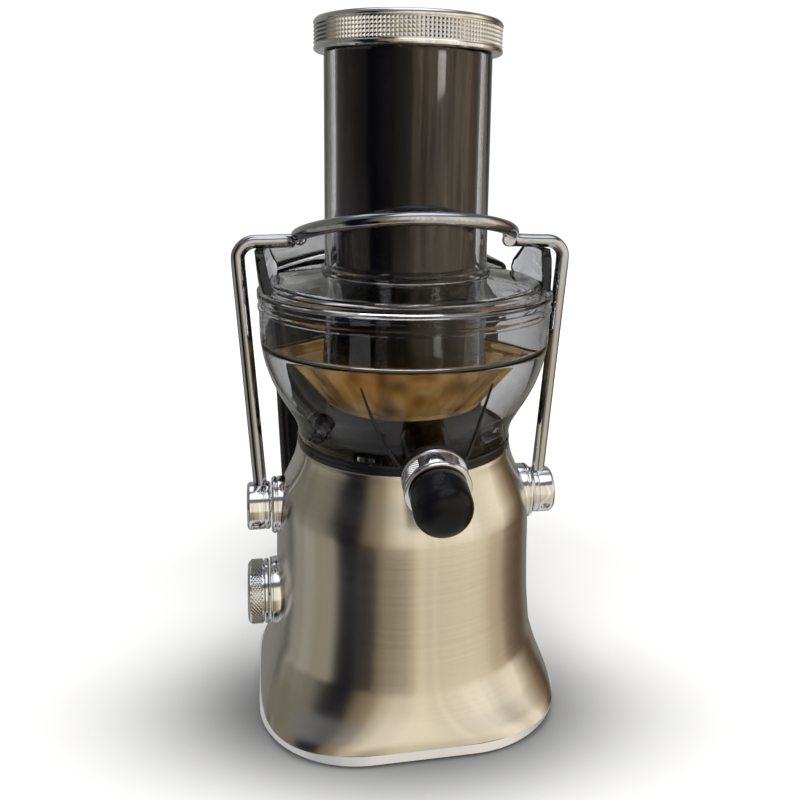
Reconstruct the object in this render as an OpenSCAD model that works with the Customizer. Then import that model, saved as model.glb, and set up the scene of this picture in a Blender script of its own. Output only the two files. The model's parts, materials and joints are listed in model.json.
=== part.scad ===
// Centrifugal juicer with a wide feed chute, locking bail, anti-drip spout and
// a pulp container that stands behind the motor base.
// Millimetres, +Z up. The origin is on the table under the motor shaft, the
// spout points to -Y, the speed knob is on the -X side, the pulp container is
// on the +Y side.

/* [Base] */
// Half width of the bright foot trim
trim_w = 79; // [76:0.5:80]
// Half depth of the bright foot trim
trim_d = 78; // [75:0.5:80]
// Corner radius of the foot trim in plan
trim_r = 54; // [50:1:56]
// Thickness of the steel shell
shell_t = 1.6; // [1.2:0.1:2.0]
// Width scale of the steel shell's waist
waist = 0.99; // [0.99:0.005:1.01]

/* [Bowl and lid] */
// Wall thickness of the clear mouldings
wall = 2.6; // [2.2:0.1:3]
// Height of the parting line between bowl and lid
z_part = 194; // [193:0.5:195]
// Top of the lid's flange
z_rim = 221; // [220.5:0.5:221.5]
// Outer radius of the lid's flange
r_rim = 76.6; // [76:0.1:77]

/* [Feed chute and pusher] */
// Outer radius of the feed chute
chute_r = 42; // [41.8:0.1:42]
// Top edge of the feed chute
chute_top = 338; // [330:1:345]
// Outer radius of the pusher
pusher_r = 36.4; // [35:0.2:36.6]
// Outer radius of the knurled pusher ring
ring_r = 47; // [46:0.5:48]
// Height of the knurled pusher ring
ring_h = 16; // [15:1:18]

/* [Locking bail] */
// Radius of the bail's round rod
rod_r = 3.5; // [3:0.25:3.5]
// Height of the bail's pivot axis
z_piv = 103.5; // [103:0.5:104]
// Radius of the pivot pins
pin_r = 4; // [3.5:0.5:4]
// Radial running clearance of pins and shafts
run = 0.05; // [0.03:0.01:0.08]

/* [Spout] */
// Height of the spout's axis at its knurled ring
z_spout = 149; // [148.5:0.5:149.5]
// Downward tilt of the spout, degrees
spout_tilt = 16; // [14:1:17]
// Radius of the black nozzle
nozzle_r = 13; // [12.5:0.25:13.25]
// Radius of the knurled spout ring
sring_r = 15; // [14.5:0.5:15.5]

/* [Control knob] */
// Height of the knob's axis
z_knob = 54; // [52:1:56]
// Height of the cord bushing
z_gland = 34; // [33:1:36]
// Radius of the knob
knob_r = 17; // [16:0.5:17]

/* [Pulp container] */
// Rear face of the pulp container
cont_y = 174; // [168:1:180]
// Wall thickness of the pulp container
cont_t = 2.4; // [2:0.1:3]

/* [Hidden] */
$fn = 96;

steel = [0.72, 0.68, 0.62];
chrome = [0.85, 0.85, 0.87];
black = [0.05, 0.05, 0.06];
smoke = [0.45, 0.46, 0.48, 0.4];
amber = [0.8, 0.5, 0.15, 0.6];

// Lower part of the shell: height, half width, squareness exponent of the plan
LOW = [
  [6.5, 79.4, 3.4], [10, 79.0, 3.1], [14, 77.8, 2.7], [20, 75.7, 2.3],
  [26, 74.0, 2.12], [34, 71.8, 2]];
// Upper part of the shell, which is round: height, radius
UPP = [
  [34, 72.3], [44, 71.0], [58, 69.9], [76, 69.3], [94, 69.0], [105, 68.5],
  [113, 66.7], [120, 63.6], [127, 60.4], [133, 58.4], [138, 57.5]];

function unit(v) = v / norm(v);
function tan_at(p, i) = unit(p[min(i + 1, len(p) - 1)] - p[max(i - 1, 0)]);
function plan_r(w, n, a) = w / pow(pow(abs(cos(a)), n) + pow(abs(sin(a)), n), 1 / n);

// Side faces between rings of k points
function ring_faces(n, k) = concat(
  [[for (j = [0:k-1]) j]],
  [for (i = [0:n-2]) for (j = [0:k-1]) [i*k + j, (i+1)*k + j, (i+1)*k + (j+1)%k]],
  [for (i = [0:n-2]) for (j = [0:k-1]) [i*k + j, (i+1)*k + (j+1)%k, i*k + (j+1)%k]],
  [[for (j = [k-1:-1:0]) (n-1)*k + j]]);

// Round tube of radii r swept along the points p; ref is never along the path
module sweep(p, r, ref, k = 12) {
  pts = [for (i = [0:len(p)-1])
    let (t = tan_at(p, i), a = unit(cross(t, ref)), b = cross(t, a))
    for (j = [0:k-1]) p[i] + r[i] * (cos(j*360/k) * a + sin(j*360/k) * b)];
  polyhedron(pts, ring_faces(len(p), k), convexity = 8);
}

// Closed body through plan sections [z, half width, exponent]
module loft(lv, k = 48) {
  pts = [for (l = lv) for (j = [0:k-1])
    let (a = j*360/k, q = plan_r(l[1], l[2], a)) [q*cos(a), q*sin(a), l[0]]];
  polyhedron(pts, ring_faces(len(lv), k), convexity = 8);
}

module rrect(hx, hy, r) {
  square([2*hx, 2*(hy - r)], center = true);
  square([2*(hx - r), 2*hy], center = true);
  for (x = [-1, 1]) for (y = [-1, 1]) translate([x*(hx - r), y*(hy - r)]) circle(r);
}

module tube_z(ro, ri, z0, z1) {
  translate([0, 0, z0]) difference() {
    cylinder(r = ro, h = z1 - z0);
    translate([0, 0, -1]) cylinder(r = ri, h = z1 - z0 + 2);
  }
}

// Cylinder along +X from x0 to x1
module cyl_x(r, x0, x1) { translate([x0, 0, 0]) rotate([0, 90, 0]) cylinder(r = r, h = x1 - x0); }
// Cylinder along -Y from y0 (nearer the body) to y1
module cyl_y(r, y0, y1) { translate([0, y0, 0]) rotate([90, 0, 0]) cylinder(r = r, h = y0 - y1); }

// ---------------------------------------------------------------- base

module body_shell() {
  color(steel) difference() {
    union() {
      difference() {
        loft(concat([for (l = LOW) [l[0], l[1]*waist, l[2]]], [[35, 71.7*waist, 2]]));
        loft(concat([[2, (LOW[0][1] - shell_t)*waist, 3.55]],
          [for (i = [1:4]) [LOW[i][0], (LOW[i][1] - shell_t)*waist, LOW[i][2]]],
          [[34, 70.45*waist, 2], [37, 70.45*waist, 2]]));
      }
      rotate_extrude() polygon(concat([for (l = UPP) [l[1]*waist, l[0]]],
        [for (i = [len(UPP)-1:-1:0]) [UPP[i][1]*waist - shell_t - (i == 0 ? 0.8 : 0), UPP[i][0]]]));
    }
    translate([0, 0, z_knob]) cyl_x(knob_r + 0.8, -90, -50);
    translate([0, 0, z_piv]) for (s = [0, 180]) rotate([0, 0, s]) cyl_x(15, 50, 90);
    rotate([0, 0, 40]) translate([0, 0, z_gland]) cyl_x(8, 60, 100);
  }
}

module base_trim() {
  color(chrome) translate([0, 0, 1.5]) linear_extrude(5) difference() {
    rrect(trim_w, trim_d, trim_r);
    rrect(trim_w - 2, trim_d - 2, trim_r - 2);
  }
}

FEET = [[1, 1], [-1, 1], [-1, -1], [1, -1]];
PADS = concat(FEET, [[0, 0]]);   // four feet at the corners and one pad under the motor

module bottom_cover() {
  color(black) difference() {
    union() {
      translate([0, 0, 2]) linear_extrude(3) rrect(trim_w - 2.1, trim_d - 2.1, trim_r - 2.1);
      for (f = FEET) translate([f[0]*40, f[1]*40, 5]) cylinder(r = 7, h = 1.5);
    }
    for (f = PADS) translate([f[0]*53.5, f[1]*54.5, 1]) cylinder(r = 2.6, h = 6);
    for (f = FEET) translate([f[0]*40, f[1]*40, 1]) { cylinder(r = 2.2, h = 8); cylinder(r = 4.2, h = 2.6); }
    for (i = [-4:4]) if (abs(i) > 1) translate([i*6.5 - 1.6, -20, 0]) cube([3.2, 40, 8]);
  }
}

module rubber_feet() {
  color([0.08, 0.08, 0.08]) for (f = PADS) translate([f[0]*53.5, f[1]*54.5, 0]) {
    cylinder(r1 = 8.2, r2 = 9, h = 1);
    translate([0, 0, 1]) cylinder(r = 9, h = 1);
    translate([0, 0, 2]) cylinder(r = 2.55, h = 3);
  }
}

module bottom_screws() {
  color([0.6, 0.6, 0.62]) for (f = FEET) translate([f[0]*40, f[1]*40, 0]) difference() {
    union() {
      translate([0, 0, 2.2]) cylinder(r = 3.8, h = 1.4);
      translate([0, 0, 3.6]) cylinder(r = 2, h = 13.4);
    }
    translate([-0.5, -2.6, 2]) cube([1, 5.2, 0.9]);
    translate([-2.6, -0.5, 2]) cube([5.2, 1, 0.9]);
  }
}

module vibration_dampers() {
  color([0.1, 0.1, 0.1]) for (f = FEET) translate([f[0]*40, f[1]*40, 6.5]) difference() {
    rotate_extrude() polygon([[0, 0], [7, 0], [7, 1.5], [5.6, 2.75], [7, 4], [7, 5.5], [0, 5.5]]);
    translate([0, 0, -1]) cylinder(r = 2.2, h = 9);
  }
}

module motor_mount_plate() {
  color([0.6, 0.6, 0.6]) translate([0, 0, 12]) linear_extrude(2.5) difference() {
    rrect(49, 49, 12);
    for (f = FEET) translate([f[0]*40, f[1]*40]) circle(r = 2.05);
    circle(r = 14);
  }
}

module lower_end_bell() {
  color([0.62, 0.62, 0.64]) difference() {
    union() {
      translate([0, 0, 14.5]) cylinder(r = 42, h = 3);
      tube_z(42, 39, 17.5, 28);
      translate([0, 0, 17.5]) cylinder(r = 14.5, h = 7.5);
    }
    translate([0, 0, 17.5]) cylinder(r = 11, h = 10);
    translate([0, 0, 14]) cylinder(r = 6, h = 5);
    for (i = [0:7]) rotate([0, 0, i*45 + 22.5]) translate([26, 0, 14]) cylinder(r = 6, h = 5);
    for (i = [0:5]) rotate([0, 0, i*60]) translate([30, -6, 20]) cube([20, 12, 5.5]);
  }
}

module bearing(z0) {
  color([0.75, 0.75, 0.78]) translate([0, 0, z0]) difference() {
    union() {
      cylinder(r = 11, h = 7);
    }
    translate([0, 0, -1]) cylinder(r = pin_r + run, h = 9);
    for (z = [-1, 6.4]) translate([0, 0, z]) difference() {
      cylinder(r = 9.2, h = 1.6);
      translate([0, 0, -1]) cylinder(r = 6, h = 4);
    }
  }
}
module lower_bearing() { bearing(17.5); }
module upper_bearing() { bearing(114); }

module motor_can() {
  color([0.55, 0.56, 0.58]) difference() {
    tube_z(42, 40, 28, 112);
    for (i = [0:5]) rotate([0, 0, i*60 + 30]) translate([30, -7, 31]) cube([20, 14, 9]);
    for (i = [0:5]) rotate([0, 0, i*60 + 30]) translate([30, -5, 99]) cube([20, 10, 7]);
  }
}

module stator_core() {
  color([0.35, 0.35, 0.38]) translate([0, 0, 52]) linear_extrude(36) difference() {
    circle(r = 40);
    circle(r = 25);
    for (s = [-1, 1]) for (q = [-1, 1]) translate([s*20, q*24]) circle(r = 9);
  }
}

module field_coils() {
  color([0.72, 0.4, 0.2]) for (s = [-1, 1]) for (q = [-1, 1]) translate([s*20, q*24, 45])
    difference() {
      cylinder(r = 8.4, h = 50);
      // kept clear of the turning armature
      translate([-s*20, -q*24, -1]) cylinder(r = 25, h = 52);
    }
}

module brush_gear() {
  for (s = [0, 180]) rotate([0, 0, s]) translate([0, 0, 102]) {
    color([0.7, 0.6, 0.3]) difference() {
      translate([17, -5, -5]) cube([22.5, 10, 10]);
      translate([15, -3, -3]) cube([22, 6, 6]);
    }
    color([0.15, 0.15, 0.15]) translate([12.4, -2.95, -2.95]) cube([18, 5.9, 5.9]);
  }
}

module upper_end_bell() {
  color([0.62, 0.62, 0.64]) difference() {
    union() {
      translate([0, 0, 112]) cylinder(r = 49, h = 2);
      translate([0, 0, 112]) cylinder(r = 15, h = 9);
    }
    translate([0, 0, 114]) cylinder(r = 11, h = 12);
    translate([0, 0, 111]) cylinder(r = 6, h = 5);
    for (i = [0:5]) rotate([0, 0, i*60]) translate([28, 0, 111]) cylinder(r = 7, h = 5);
  }
}

module motor_deck() {
  color(black) rotate_extrude() polygon([
    [10, 128], [46, 128], [46, 114], [49, 114], [49, 128], [55.4, 128],
    [55.4, 135], [14, 135], [14, 137], [10, 137]]);
}

module shaft_seal() { color([0.2, 0.12, 0.1]) tube_z(10, pin_r + run, 128, 134); }

module circuit_board() {
  color([0.1, 0.35, 0.18]) translate([-34, 50.5, 30]) cube([46, 1.6, 60]);
  color([0.2, 0.2, 0.22]) {
    translate([-30, 52.1, 34]) cube([14, 9, 16]);
    translate([-10, 52.1, 40]) cube([8, 7, 8]);
    translate([4, 52.1, 36]) cube([6, 8, 20]);
  }
  color([0.5, 0.5, 0.52]) translate([-26, 52.1, 60]) rotate([-90, 0, 0]) cylinder(r = 6, h = 7);
}

module rotary_switch() {
  color([0.12, 0.12, 0.14]) difference() {
    translate([-62, -12, z_knob - 14]) cube([16, 24, 28]);
    translate([0, 0, z_knob]) cyl_x(3 + run, -70, -52);
  }
}

module knob_bezel() {
  color(chrome) translate([0, 0, z_knob]) difference() {
    union() {
      cyl_x(knob_r + 0.75, -72.6, -65.5);
    }
    cyl_x(3.4, -80, -60);
  }
}

module interlock_switch() {
  color([0.12, 0.12, 0.14]) translate([52.5, 12, z_piv - 8]) cube([7, 10, 20]);
  color([0.8, 0.8, 0.8]) translate([55, 10.9, z_piv - 2]) cube([2, 1.1, 3]);
}

module cord_gland() {
  color([0.06, 0.06, 0.06]) rotate([0, 0, 40]) translate([0, 0, z_gland]) rotate([0, 90, 0])
    difference() {
      rotate_extrude() polygon([[0, 68], [7.96, 68], [7.96, 77.6], [10.5, 78], [10.5, 80.8], [8.4, 84], [0, 84]]);
      translate([0, 0, 60]) cylinder(r = 3.6, h = 40);
    }
}

module pivot_bush() {
  difference() {
    rotate([0, 90, 0]) rotate_extrude() polygon([[0, 62], [14.95, 62], [14.95, 69.8], [14, 71], [0, 71]]);
    cyl_x(pin_r + run, 50, 90);
  }
}
module pivot_bush_left() { color(chrome) translate([0, 0, z_piv]) rotate([0, 0, 180]) pivot_bush(); }
module pivot_bush_right() { color(chrome) translate([0, 0, z_piv]) pivot_bush(); }

// ---------------------------------------------------------------- bowl

// Outer and inner outline of the bowl's wall
BO = [[56.4, 143], [56.7, 147], [58.2, 152], [61.4, 158], [66.1, 166],
  [70.6, 175.5], [73.6, 185], [75.3, 193.9]];

module bowl_base_ring() {
  color(black) difference() {
    rotate_extrude() polygon([[40, 135], [55.1, 135], [55.1, 138.2], [56.8, 138.2],
      [56.8, 140.2], [56.3, 140.6], [56.8, 141], [56.4, 143], [40, 143]]);
    for (i = [0:2]) rotate([0, 0, i*120 + 30]) translate([47, 0, 134]) cylinder(r = 3, h = 4);
  }
}

module juice_bowl() {
  color(smoke) difference() {
    rotate_extrude() polygon(concat(
      [[17, 143]], BO, [[75.3 - wall, 193.9]],
      [for (i = [6:-1:1]) [BO[i][0] - wall - (i < 3 ? 0.6 : 0), BO[i][1] + (i == 1 ? 1.2 : 0)]],
      [[52, 145.6], [20, 145.6], [19.4, 149], [17, 149]]));
    spout_frame() translate([0, 0, z_spout - 0.8]) cyl_y(8, -45, -80);
  }
}

module bowl_lock_stud() {
  color(black) difference() {
    rotate([0, 0, 225]) translate([63.8, 0, 163]) rotate([0, 121, 0])
      rotate_extrude() polygon([[0, -1], [4.6, -1], [5, 2.4], [3.4, 4.4], [0, 5]]);
    rotate_extrude() polygon(concat([[0, 143]], BO, [[0, 194]]));
  }
}

module bowl_gasket() { color([0.1, 0.1, 0.1]) tube_z(75.2, 73, 193.9, 195.4); }

// Tilts its children down about the middle of the knurled spout ring
module spout_frame() {
  translate([0, -93, z_spout]) rotate([spout_tilt, 0, 0]) translate([0, 93, -z_spout]) children();
}

module spout_tube() {
  color(smoke) difference() {
    spout_frame() translate([0, 0, z_spout]) difference() {
      cyl_y(11.5, -58, -97);
      cyl_y(9, -63, -98);
      translate([0, 0, -0.8]) cyl_y(8, -45, -70);
    }
    // seat against the bowl's neck
    translate([0, 0, 123]) cylinder(r = 57.1, h = 20);
    rotate_extrude() polygon(concat([[0, 143]], BO, [[0, 194]]));
  }
}

module spout_collar() {
  color(black) spout_frame() translate([0, 0, z_spout]) rotate([90, 0, 0])
    rotate_extrude() polygon([[11.5, 80.8], [13.2, 81.4], [13.6, 82.8], [13.6, 86.6], [11.5, 86.6]]);
}

// Curved fins that run from the bowl's side down to the spout
FIN = [for (i = [0:14]) let (t = i/14)
  [12.8 + 17.8*pow(1 - t, 0.9), -67.7 - 17*pow(t, 1.75), 153.3 + 32.9*pow(1 - t, 1.46)]];
module spout_fins() {
  r = [for (i = [0:14]) let (t = i/14) 0.5 + 0.8*sin(180*min(1, 0.12 + 0.75*t))];
  color(black) difference() {
    for (s = [0, 1]) mirror([s, 0, 0]) sweep(FIN, r, [1, 0, 0], 8);
    // seats on the bowl and on the collar
    rotate_extrude() polygon(concat([[0, 143]], BO, [[0, 194]]));
    spout_frame() translate([0, 0, z_spout]) cyl_y(13.6, -80, -90);
  }
}

// ---------------------------------------------------------------- lid

LID_WALL = [[75.4, 195.4], [75.7, 210.6], [76.3, 211.4], [76.3, 212.8], [75.8, 213.6],
  [75.9, 216], [r_rim, 216.6], [r_rim, z_rim - 0.6], [76, z_rim]];
LID_TOP = [[71, z_rim], [69.4, 224.8], [43.9, 229]];
LID_OUT = concat(LID_WALL, LID_TOP);

// The lid's upright wall, with the window to the pulp container
module lid() {
  color(smoke) difference() {
    rotate_extrude() polygon(concat(LID_WALL, [[73.3, z_rim], [73.3, 218.4], [72.8, 195.4]]));
    translate([-46, 50, 197]) cube([92, 40, 19]);
  }
}

// The lid's sloping top, welded into the wall, which carries the feed chute
module lid_crown() {
  color(smoke) rotate_extrude() polygon(concat([[73.3, z_rim]], LID_TOP,
    [[chute_r, 229], [chute_r, 226.2], [67.6, 222.2], [69, 218.6], [73.3, 218.4]]));
}

// Half plan of the hood and container, rounded at the rear
module rear_plan(hx, y0, y1, r) {
  translate([-hx, y0]) square([2*hx, y1 - r - y0]);
  translate([-hx + r, y0]) square([2*hx - 2*r, y1 - y0]);
  for (s = [-1, 1]) translate([s*(hx - r), y1 - r]) circle(r);
}

function arch(hx, zb, zs, zt) = concat([[hx, zb]],
  [for (i = [0:16]) let (x = hx*cos(i*180/16)) [x, zs + (zt - zs)*(1 - pow(x/hx, 2))]], [[-hx, zb]]);

module arch_block(hx, zb, zs, zt, y0, y1) {
  translate([0, y1, 0]) rotate([90, 0, 0]) linear_extrude(y1 - y0) polygon(arch(hx, zb, zs, zt));
}

module pulp_hood() {
  color(smoke) difference() {
    intersection() {
      arch_block(71, 213.9, 224, 237, 56, cont_y);
      translate([0, 0, 210]) linear_extrude(30) rear_plan(71, 50, cont_y, 24);
    }
    intersection() {
      arch_block(68.6, 200, 222, 234.6, 58.4, cont_y);
      translate([0, 0, 200]) linear_extrude(50) rear_plan(68.6, 58.4, cont_y - 2.4, 21.6);
    }
    rotate_extrude() polygon(concat([[0, 190], [r_rim, 190]], [for (i = [6:len(LID_OUT)-1]) LID_OUT[i]], [[0, 229]]));
  }
}

module lid_ears() {
  color(smoke) for (s = [0, 1]) mirror([s, 0, 0]) intersection() {
    rotate([0, 0, -40]) rotate_extrude(angle = 90)
      polygon([[71.2, z_rim + 0.02], [75.6, z_rim + 0.02], [77.4, 240.7], [72.9, 240.7]]);
    translate([50, 0, 0]) rotate([90, 0, 90]) linear_extrude(40)
      polygon([[-21, z_rim - 1], [27, z_rim - 1], [30, 226], [29, 231], [21, 241.2], [-4, 241.2],
        [-10, 236], [-16, 228]]);
  }
}

module feed_chute() {
  color(smoke) rotate_extrude() polygon([
    [39, 176], [chute_r, 177.5], [chute_r, 229.05], [43.8, 229.3], [44.2, 230.4],
    [43.6, 231.6], [chute_r, 232.4], [chute_r, chute_top], [39, chute_top]]);
}

// ---------------------------------------------------------------- spindle

module motor_shaft() {
  color([0.78, 0.78, 0.8]) translate([0, 0, 17.8]) cylinder(r = pin_r, h = 129.2);
}

module armature() {
  color([0.35, 0.35, 0.37]) translate([0, 0, 53]) linear_extrude(34) difference() {
    circle(r = 24.2);
    circle(r = pin_r);
    for (i = [0:11]) rotate(i*30) translate([22.6, 0]) circle(r = 2.6, $fn = 24);
  }
  color([0.7, 0.38, 0.18]) for (z = [45.5, 87]) translate([0, 0, z]) difference() {
    rotate_extrude() polygon([[0, 0], [17, 0], [20, 2], [20, 5.5], [18, 7.5], [0, 7.5]]);
    translate([0, 0, -1]) cylinder(r = pin_r, h = 10);
  }
}

module commutator() {
  color([0.75, 0.45, 0.25]) translate([0, 0, 95.5]) linear_extrude(12) difference() {
    circle(r = 12);
    circle(r = pin_r);
    for (i = [0:23]) rotate(i*15) translate([10.9, -0.25]) square([2, 0.5]);
  }
}

module cooling_fan() {
  color([0.15, 0.15, 0.16]) difference() {
    union() {
      translate([0, 0, 30]) cylinder(r = 34, h = 1.6);
      translate([0, 0, 30]) cylinder(r = 9, h = 10);
      for (i = [0:8]) rotate([0, 0, i*40]) translate([8, -0.8, 31]) cube([25.5, 1.6, 8]);
    }
    translate([0, 0, 29]) cylinder(r = pin_r, h = 12);
  }
}

module drive_coupling() {
  color([0.15, 0.15, 0.16]) difference() {
    union() {
      translate([0, 0, 137.6]) cylinder(r = 13, h = 3);
      translate([0, 0, 140.6]) cylinder(r = 9, h = 9.4);
      for (i = [0:5]) rotate([0, 0, i*60]) translate([9, 0, 140.6]) cylinder(r = 2, h = 9.4, $fn = 24);
    }
    translate([0, 0, 137]) cylinder(r = pin_r, h = 10);
  }
}

module basket_hub() {
  color(black) difference() {
    rotate_extrude() polygon([[0, 150], [13, 150], [13, 146.6], [16, 146.6], [16, 151], [20, 157],
      [37.4, 157], [37.4, 147.4], [40, 147.4], [41.2, 148.6], [41.6, 150.5], [41.6, 160.4], [41, 161], [0, 161]]);
  }
}

// Cone of the filter from its bottom to its rim
module filter_basket() {
  color(amber) rotate_extrude() polygon([[38.4, 161], [40.9, 161], [41.4, 163], [64.4, 190.6],
    [67.3, 191.6], [67.6, 193], [67.3, 195], [63.6, 195], [61.8, 191], [39.5, 164.3], [38.4, 164.1]]);
}

module sieve_mesh() {
  color([0.75, 0.75, 0.72]) rotate_extrude() polygon([[38.8, 164.8], [39.2, 164.4],
    [61.4, 190.9], [60.9, 190.9]]);
}

module grater_disc() {
  color([0.8, 0.8, 0.8]) {
    difference() {
      rotate_extrude() polygon([[0, 161], [38.3, 161], [38.3, 162.2], [9, 162.2], [8, 165.5],
        [5.5, 167.5], [0, 168]]);
    }
  }
}

// ---------------------------------------------------------------- bail

// Point on the bail's leg at height z
function leg_x(z) = 76.5 + (z - 112)*0.0735;
// Side rod: up the leg, round the corner, in along the shoulder, forward at the end
SIDE = concat(
  [[leg_x(111), 0, 111], [leg_x(140), 0, 140], [leg_x(178), 0, 178], [leg_x(210), 0, 210], [leg_x(234), 0, 234]],
  [for (a = [8:14:92]) [76.6 + 9*cos(a - 2), 0, 235.6 + 9*sin(a - 2)]],
  [[70, 0, 244.7], [64, 0, 244.9], [59.5, -0.4, 245.1], [56.3, -1.9, 245.2], [53.8, -4.6, 245.6],
   [53, -7.6, 246], [52.8, -10.5, 246.2]]);
module bail_side() { sweep(SIDE, [for (p = SIDE) rod_r], [0, 1, 0.03], 16); }
module bail_side_right() { color(chrome) bail_side(); }
module bail_side_left() { color(chrome) mirror([1, 0, 0]) bail_side(); }

// Arc that joins the two shoulders in front of the chute
ARC = [for (i = [0:32]) let (a = -i*180/32 + 0, e = min(1, sin(-a)))
  [55.5*cos(a) * (1 - 0.0*e), 2 - 53.5*e, 247.5 + 13.5*pow(e, 1.15)]];
module bail_arc() { color(chrome) sweep(ARC, [for (p = ARC) rod_r], [0, 0, 1], 16); }

module boss() {
  difference() {
    rotate([0, 90, 0]) rotate_extrude() polygon([[0, 71.3], [11.6, 71.3], [12.5, 72.2], [12.5, 82.6],
      [11.6, 83.6], [9.5, 83.6], [9.1, 83], [0, 83]]);
    cyl_x(pin_r, 70, 80);
    translate([leg_x(z_piv + 7.2), 0, 7.2]) rotate([0, atan(0.0735), 0]) cylinder(r = rod_r + 0.02, h = 20);
  }
}
module boss_left() { color(chrome) translate([0, 0, z_piv]) mirror([1, 0, 0]) boss(); }
module boss_right() { color(chrome) translate([0, 0, z_piv]) boss(); }

module pivot_pins() {
  color([0.75, 0.75, 0.77]) translate([0, 0, z_piv]) {
    for (s = [0, 180]) rotate([0, 0, s]) { cyl_x(pin_r, 56, 79.9); cyl_x(7, 59.4, 61.7); }
    // cam that holds the interlock switch closed while the bail is up
    translate([0, 0, 0]) difference() { cyl_x(10.4, 53.6, 58.4); translate([50, -12, -14]) cube([20, 9, 28]); }
  }
}

// ---------------------------------------------------------------- knob

module control_knob() {
  color(chrome) translate([0, 0, z_knob]) difference() {
    rotate([0, -90, 0]) rotate_extrude() polygon([[0, 73], [knob_r - 1.2, 73], [knob_r, 74], [knob_r, 82.6],
      [knob_r - 1, 83.8], [13.5, 84.2], [12.5, 83.6], [0, 83.6]]);
    cyl_x(3, -79, -70);
    translate([-85, -0.8, 8]) cube([2, 1.6, 9]);
  }
}

module knob_shaft() { color([0.75, 0.75, 0.77]) translate([0, 0, z_knob]) cyl_x(3, -79, -54); }

// ---------------------------------------------------------------- nozzle

module spout_ring() {
  color(chrome) spout_frame() translate([0, 0, z_spout]) rotate([90, 0, 0]) rotate_extrude() polygon([
    [11.5 + run, 87], [sring_r - 1, 87], [sring_r, 87.9], [sring_r, 97.2], [sring_r - 1, 98.2], [11.5 + run, 98.2]]);
}

module spout_nozzle() {
  color(black) spout_frame() translate([0, 0, z_spout]) difference() {
    rotate([90, 0, 0]) rotate_extrude() polygon(concat([[0, 98.2], [nozzle_r, 98.2], [nozzle_r, 107]],
      [for (a = [10:10:90]) [nozzle_r - 9 + 9*cos(a), 109 + 9*sin(a)]], [[0, 118]]));
    rotate([90, 0, 0]) translate([0, 0, 97]) cylinder(r = 9.5, h = 16.5);
    translate([0, -108, -20]) cylinder(r = 6.5, h = 20);
  }
}

// ---------------------------------------------------------------- pusher

module pusher_body() {
  color(black) difference() {
    union() {
      translate([0, 0, 188]) cylinder(r = pusher_r, h = 161);
      translate([0, 0, 186]) cylinder(r1 = pusher_r - 1.6, r2 = pusher_r, h = 2);
      translate([-2.4, 30, 189]) cube([4.8, 8.4, 145]);
    }
    translate([0, 0, 189.5]) cylinder(r = pusher_r - 2.6, h = 160);
  }
}

module pusher_ring() {
  color(chrome) difference() {
    rotate_extrude() polygon([[pusher_r, chute_top + 2], [39, chute_top + 2], [39, chute_top], [ring_r - 1, chute_top],
      [ring_r, chute_top + 1], [ring_r, chute_top + ring_h - 1.6], [ring_r - 1.6, chute_top + ring_h],
      [44, chute_top + ring_h], [43.4, chute_top + ring_h - 1], [43.4, 349], [pusher_r, 349]]);
  }
}

module pusher_cap() {
  color(black) rotate_extrude() polygon([[0, 344], [6, 344.2], [26, 347], [32.6, 349], [43.3, 349], [43.3, 352],
    [41, 352.4], [33, 351.6], [20, 348.4], [0, 347]]);
}

// ---------------------------------------------------------------- pulp container

// Outer block of the container: a tapered tub with a collar that reaches forward
module cont_block(d, lift, top) {
  hull() {
    translate([0, 0, lift]) linear_extrude(0.5) rear_plan(61 - d, 92 + d, cont_y - 4 - d, 20 - d);
    translate([0, 0, 170]) linear_extrude(0.5) rear_plan(68.5 - d, 92 + d, cont_y - 1 - d, 22 - d);
  }
  hull() {
    translate([0, 0, 158]) linear_extrude(0.5) rear_plan(68 - d, 92 + d, cont_y - 1.4 - d, 22 - d);
    translate([0, 0, top - 0.5]) linear_extrude(0.5) rear_plan(70.5 - d, 58 + d, cont_y - d, 22 - d);
  }
}

module pulp_container() {
  color(black) difference() {
    union() {
      cont_block(0, 0, 213);
      translate([0, 0, 206]) linear_extrude(7) difference() {
        rear_plan(75, 64, cont_y + 4, 26);
        rear_plan(69, 50, cont_y - 2, 22);
      }
    }
    difference() {
      cont_block(cont_t, cont_t, 230);
      translate([0, 0, 140]) cylinder(r = 80.6, h = 100);
    }
    translate([0, 0, 130]) cylinder(r = 78.2, h = 100);
    translate([-44, 50, 194]) cube([88, 45, 40]);
  }
}

body_shell();
base_trim();
bottom_cover();
rubber_feet();
bottom_screws();
vibration_dampers();
motor_mount_plate();
lower_end_bell();
lower_bearing();
motor_can();
stator_core();
field_coils();
brush_gear();
upper_end_bell();
upper_bearing();
motor_deck();
shaft_seal();
circuit_board();
rotary_switch();
knob_bezel();
interlock_switch();
cord_gland();
pivot_bush_left();
pivot_bush_right();
bowl_base_ring();
juice_bowl();
bowl_lock_stud();
bowl_gasket();
spout_tube();
spout_collar();
spout_fins();
lid();
lid_crown();
pulp_hood();
lid_ears();
feed_chute();
motor_shaft();
armature();
commutator();
cooling_fan();
drive_coupling();
basket_hub();
filter_basket();
sieve_mesh();
grater_disc();
boss_left();
boss_right();
pivot_pins();
bail_side_left();
bail_side_right();
bail_arc();
control_knob();
knob_shaft();
spout_ring();
spout_nozzle();
pusher_body();
pusher_ring();
pusher_cap();
pulp_container();
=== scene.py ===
import json
import math

import bmesh
import bpy
from mathutils import Matrix, Vector

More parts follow.
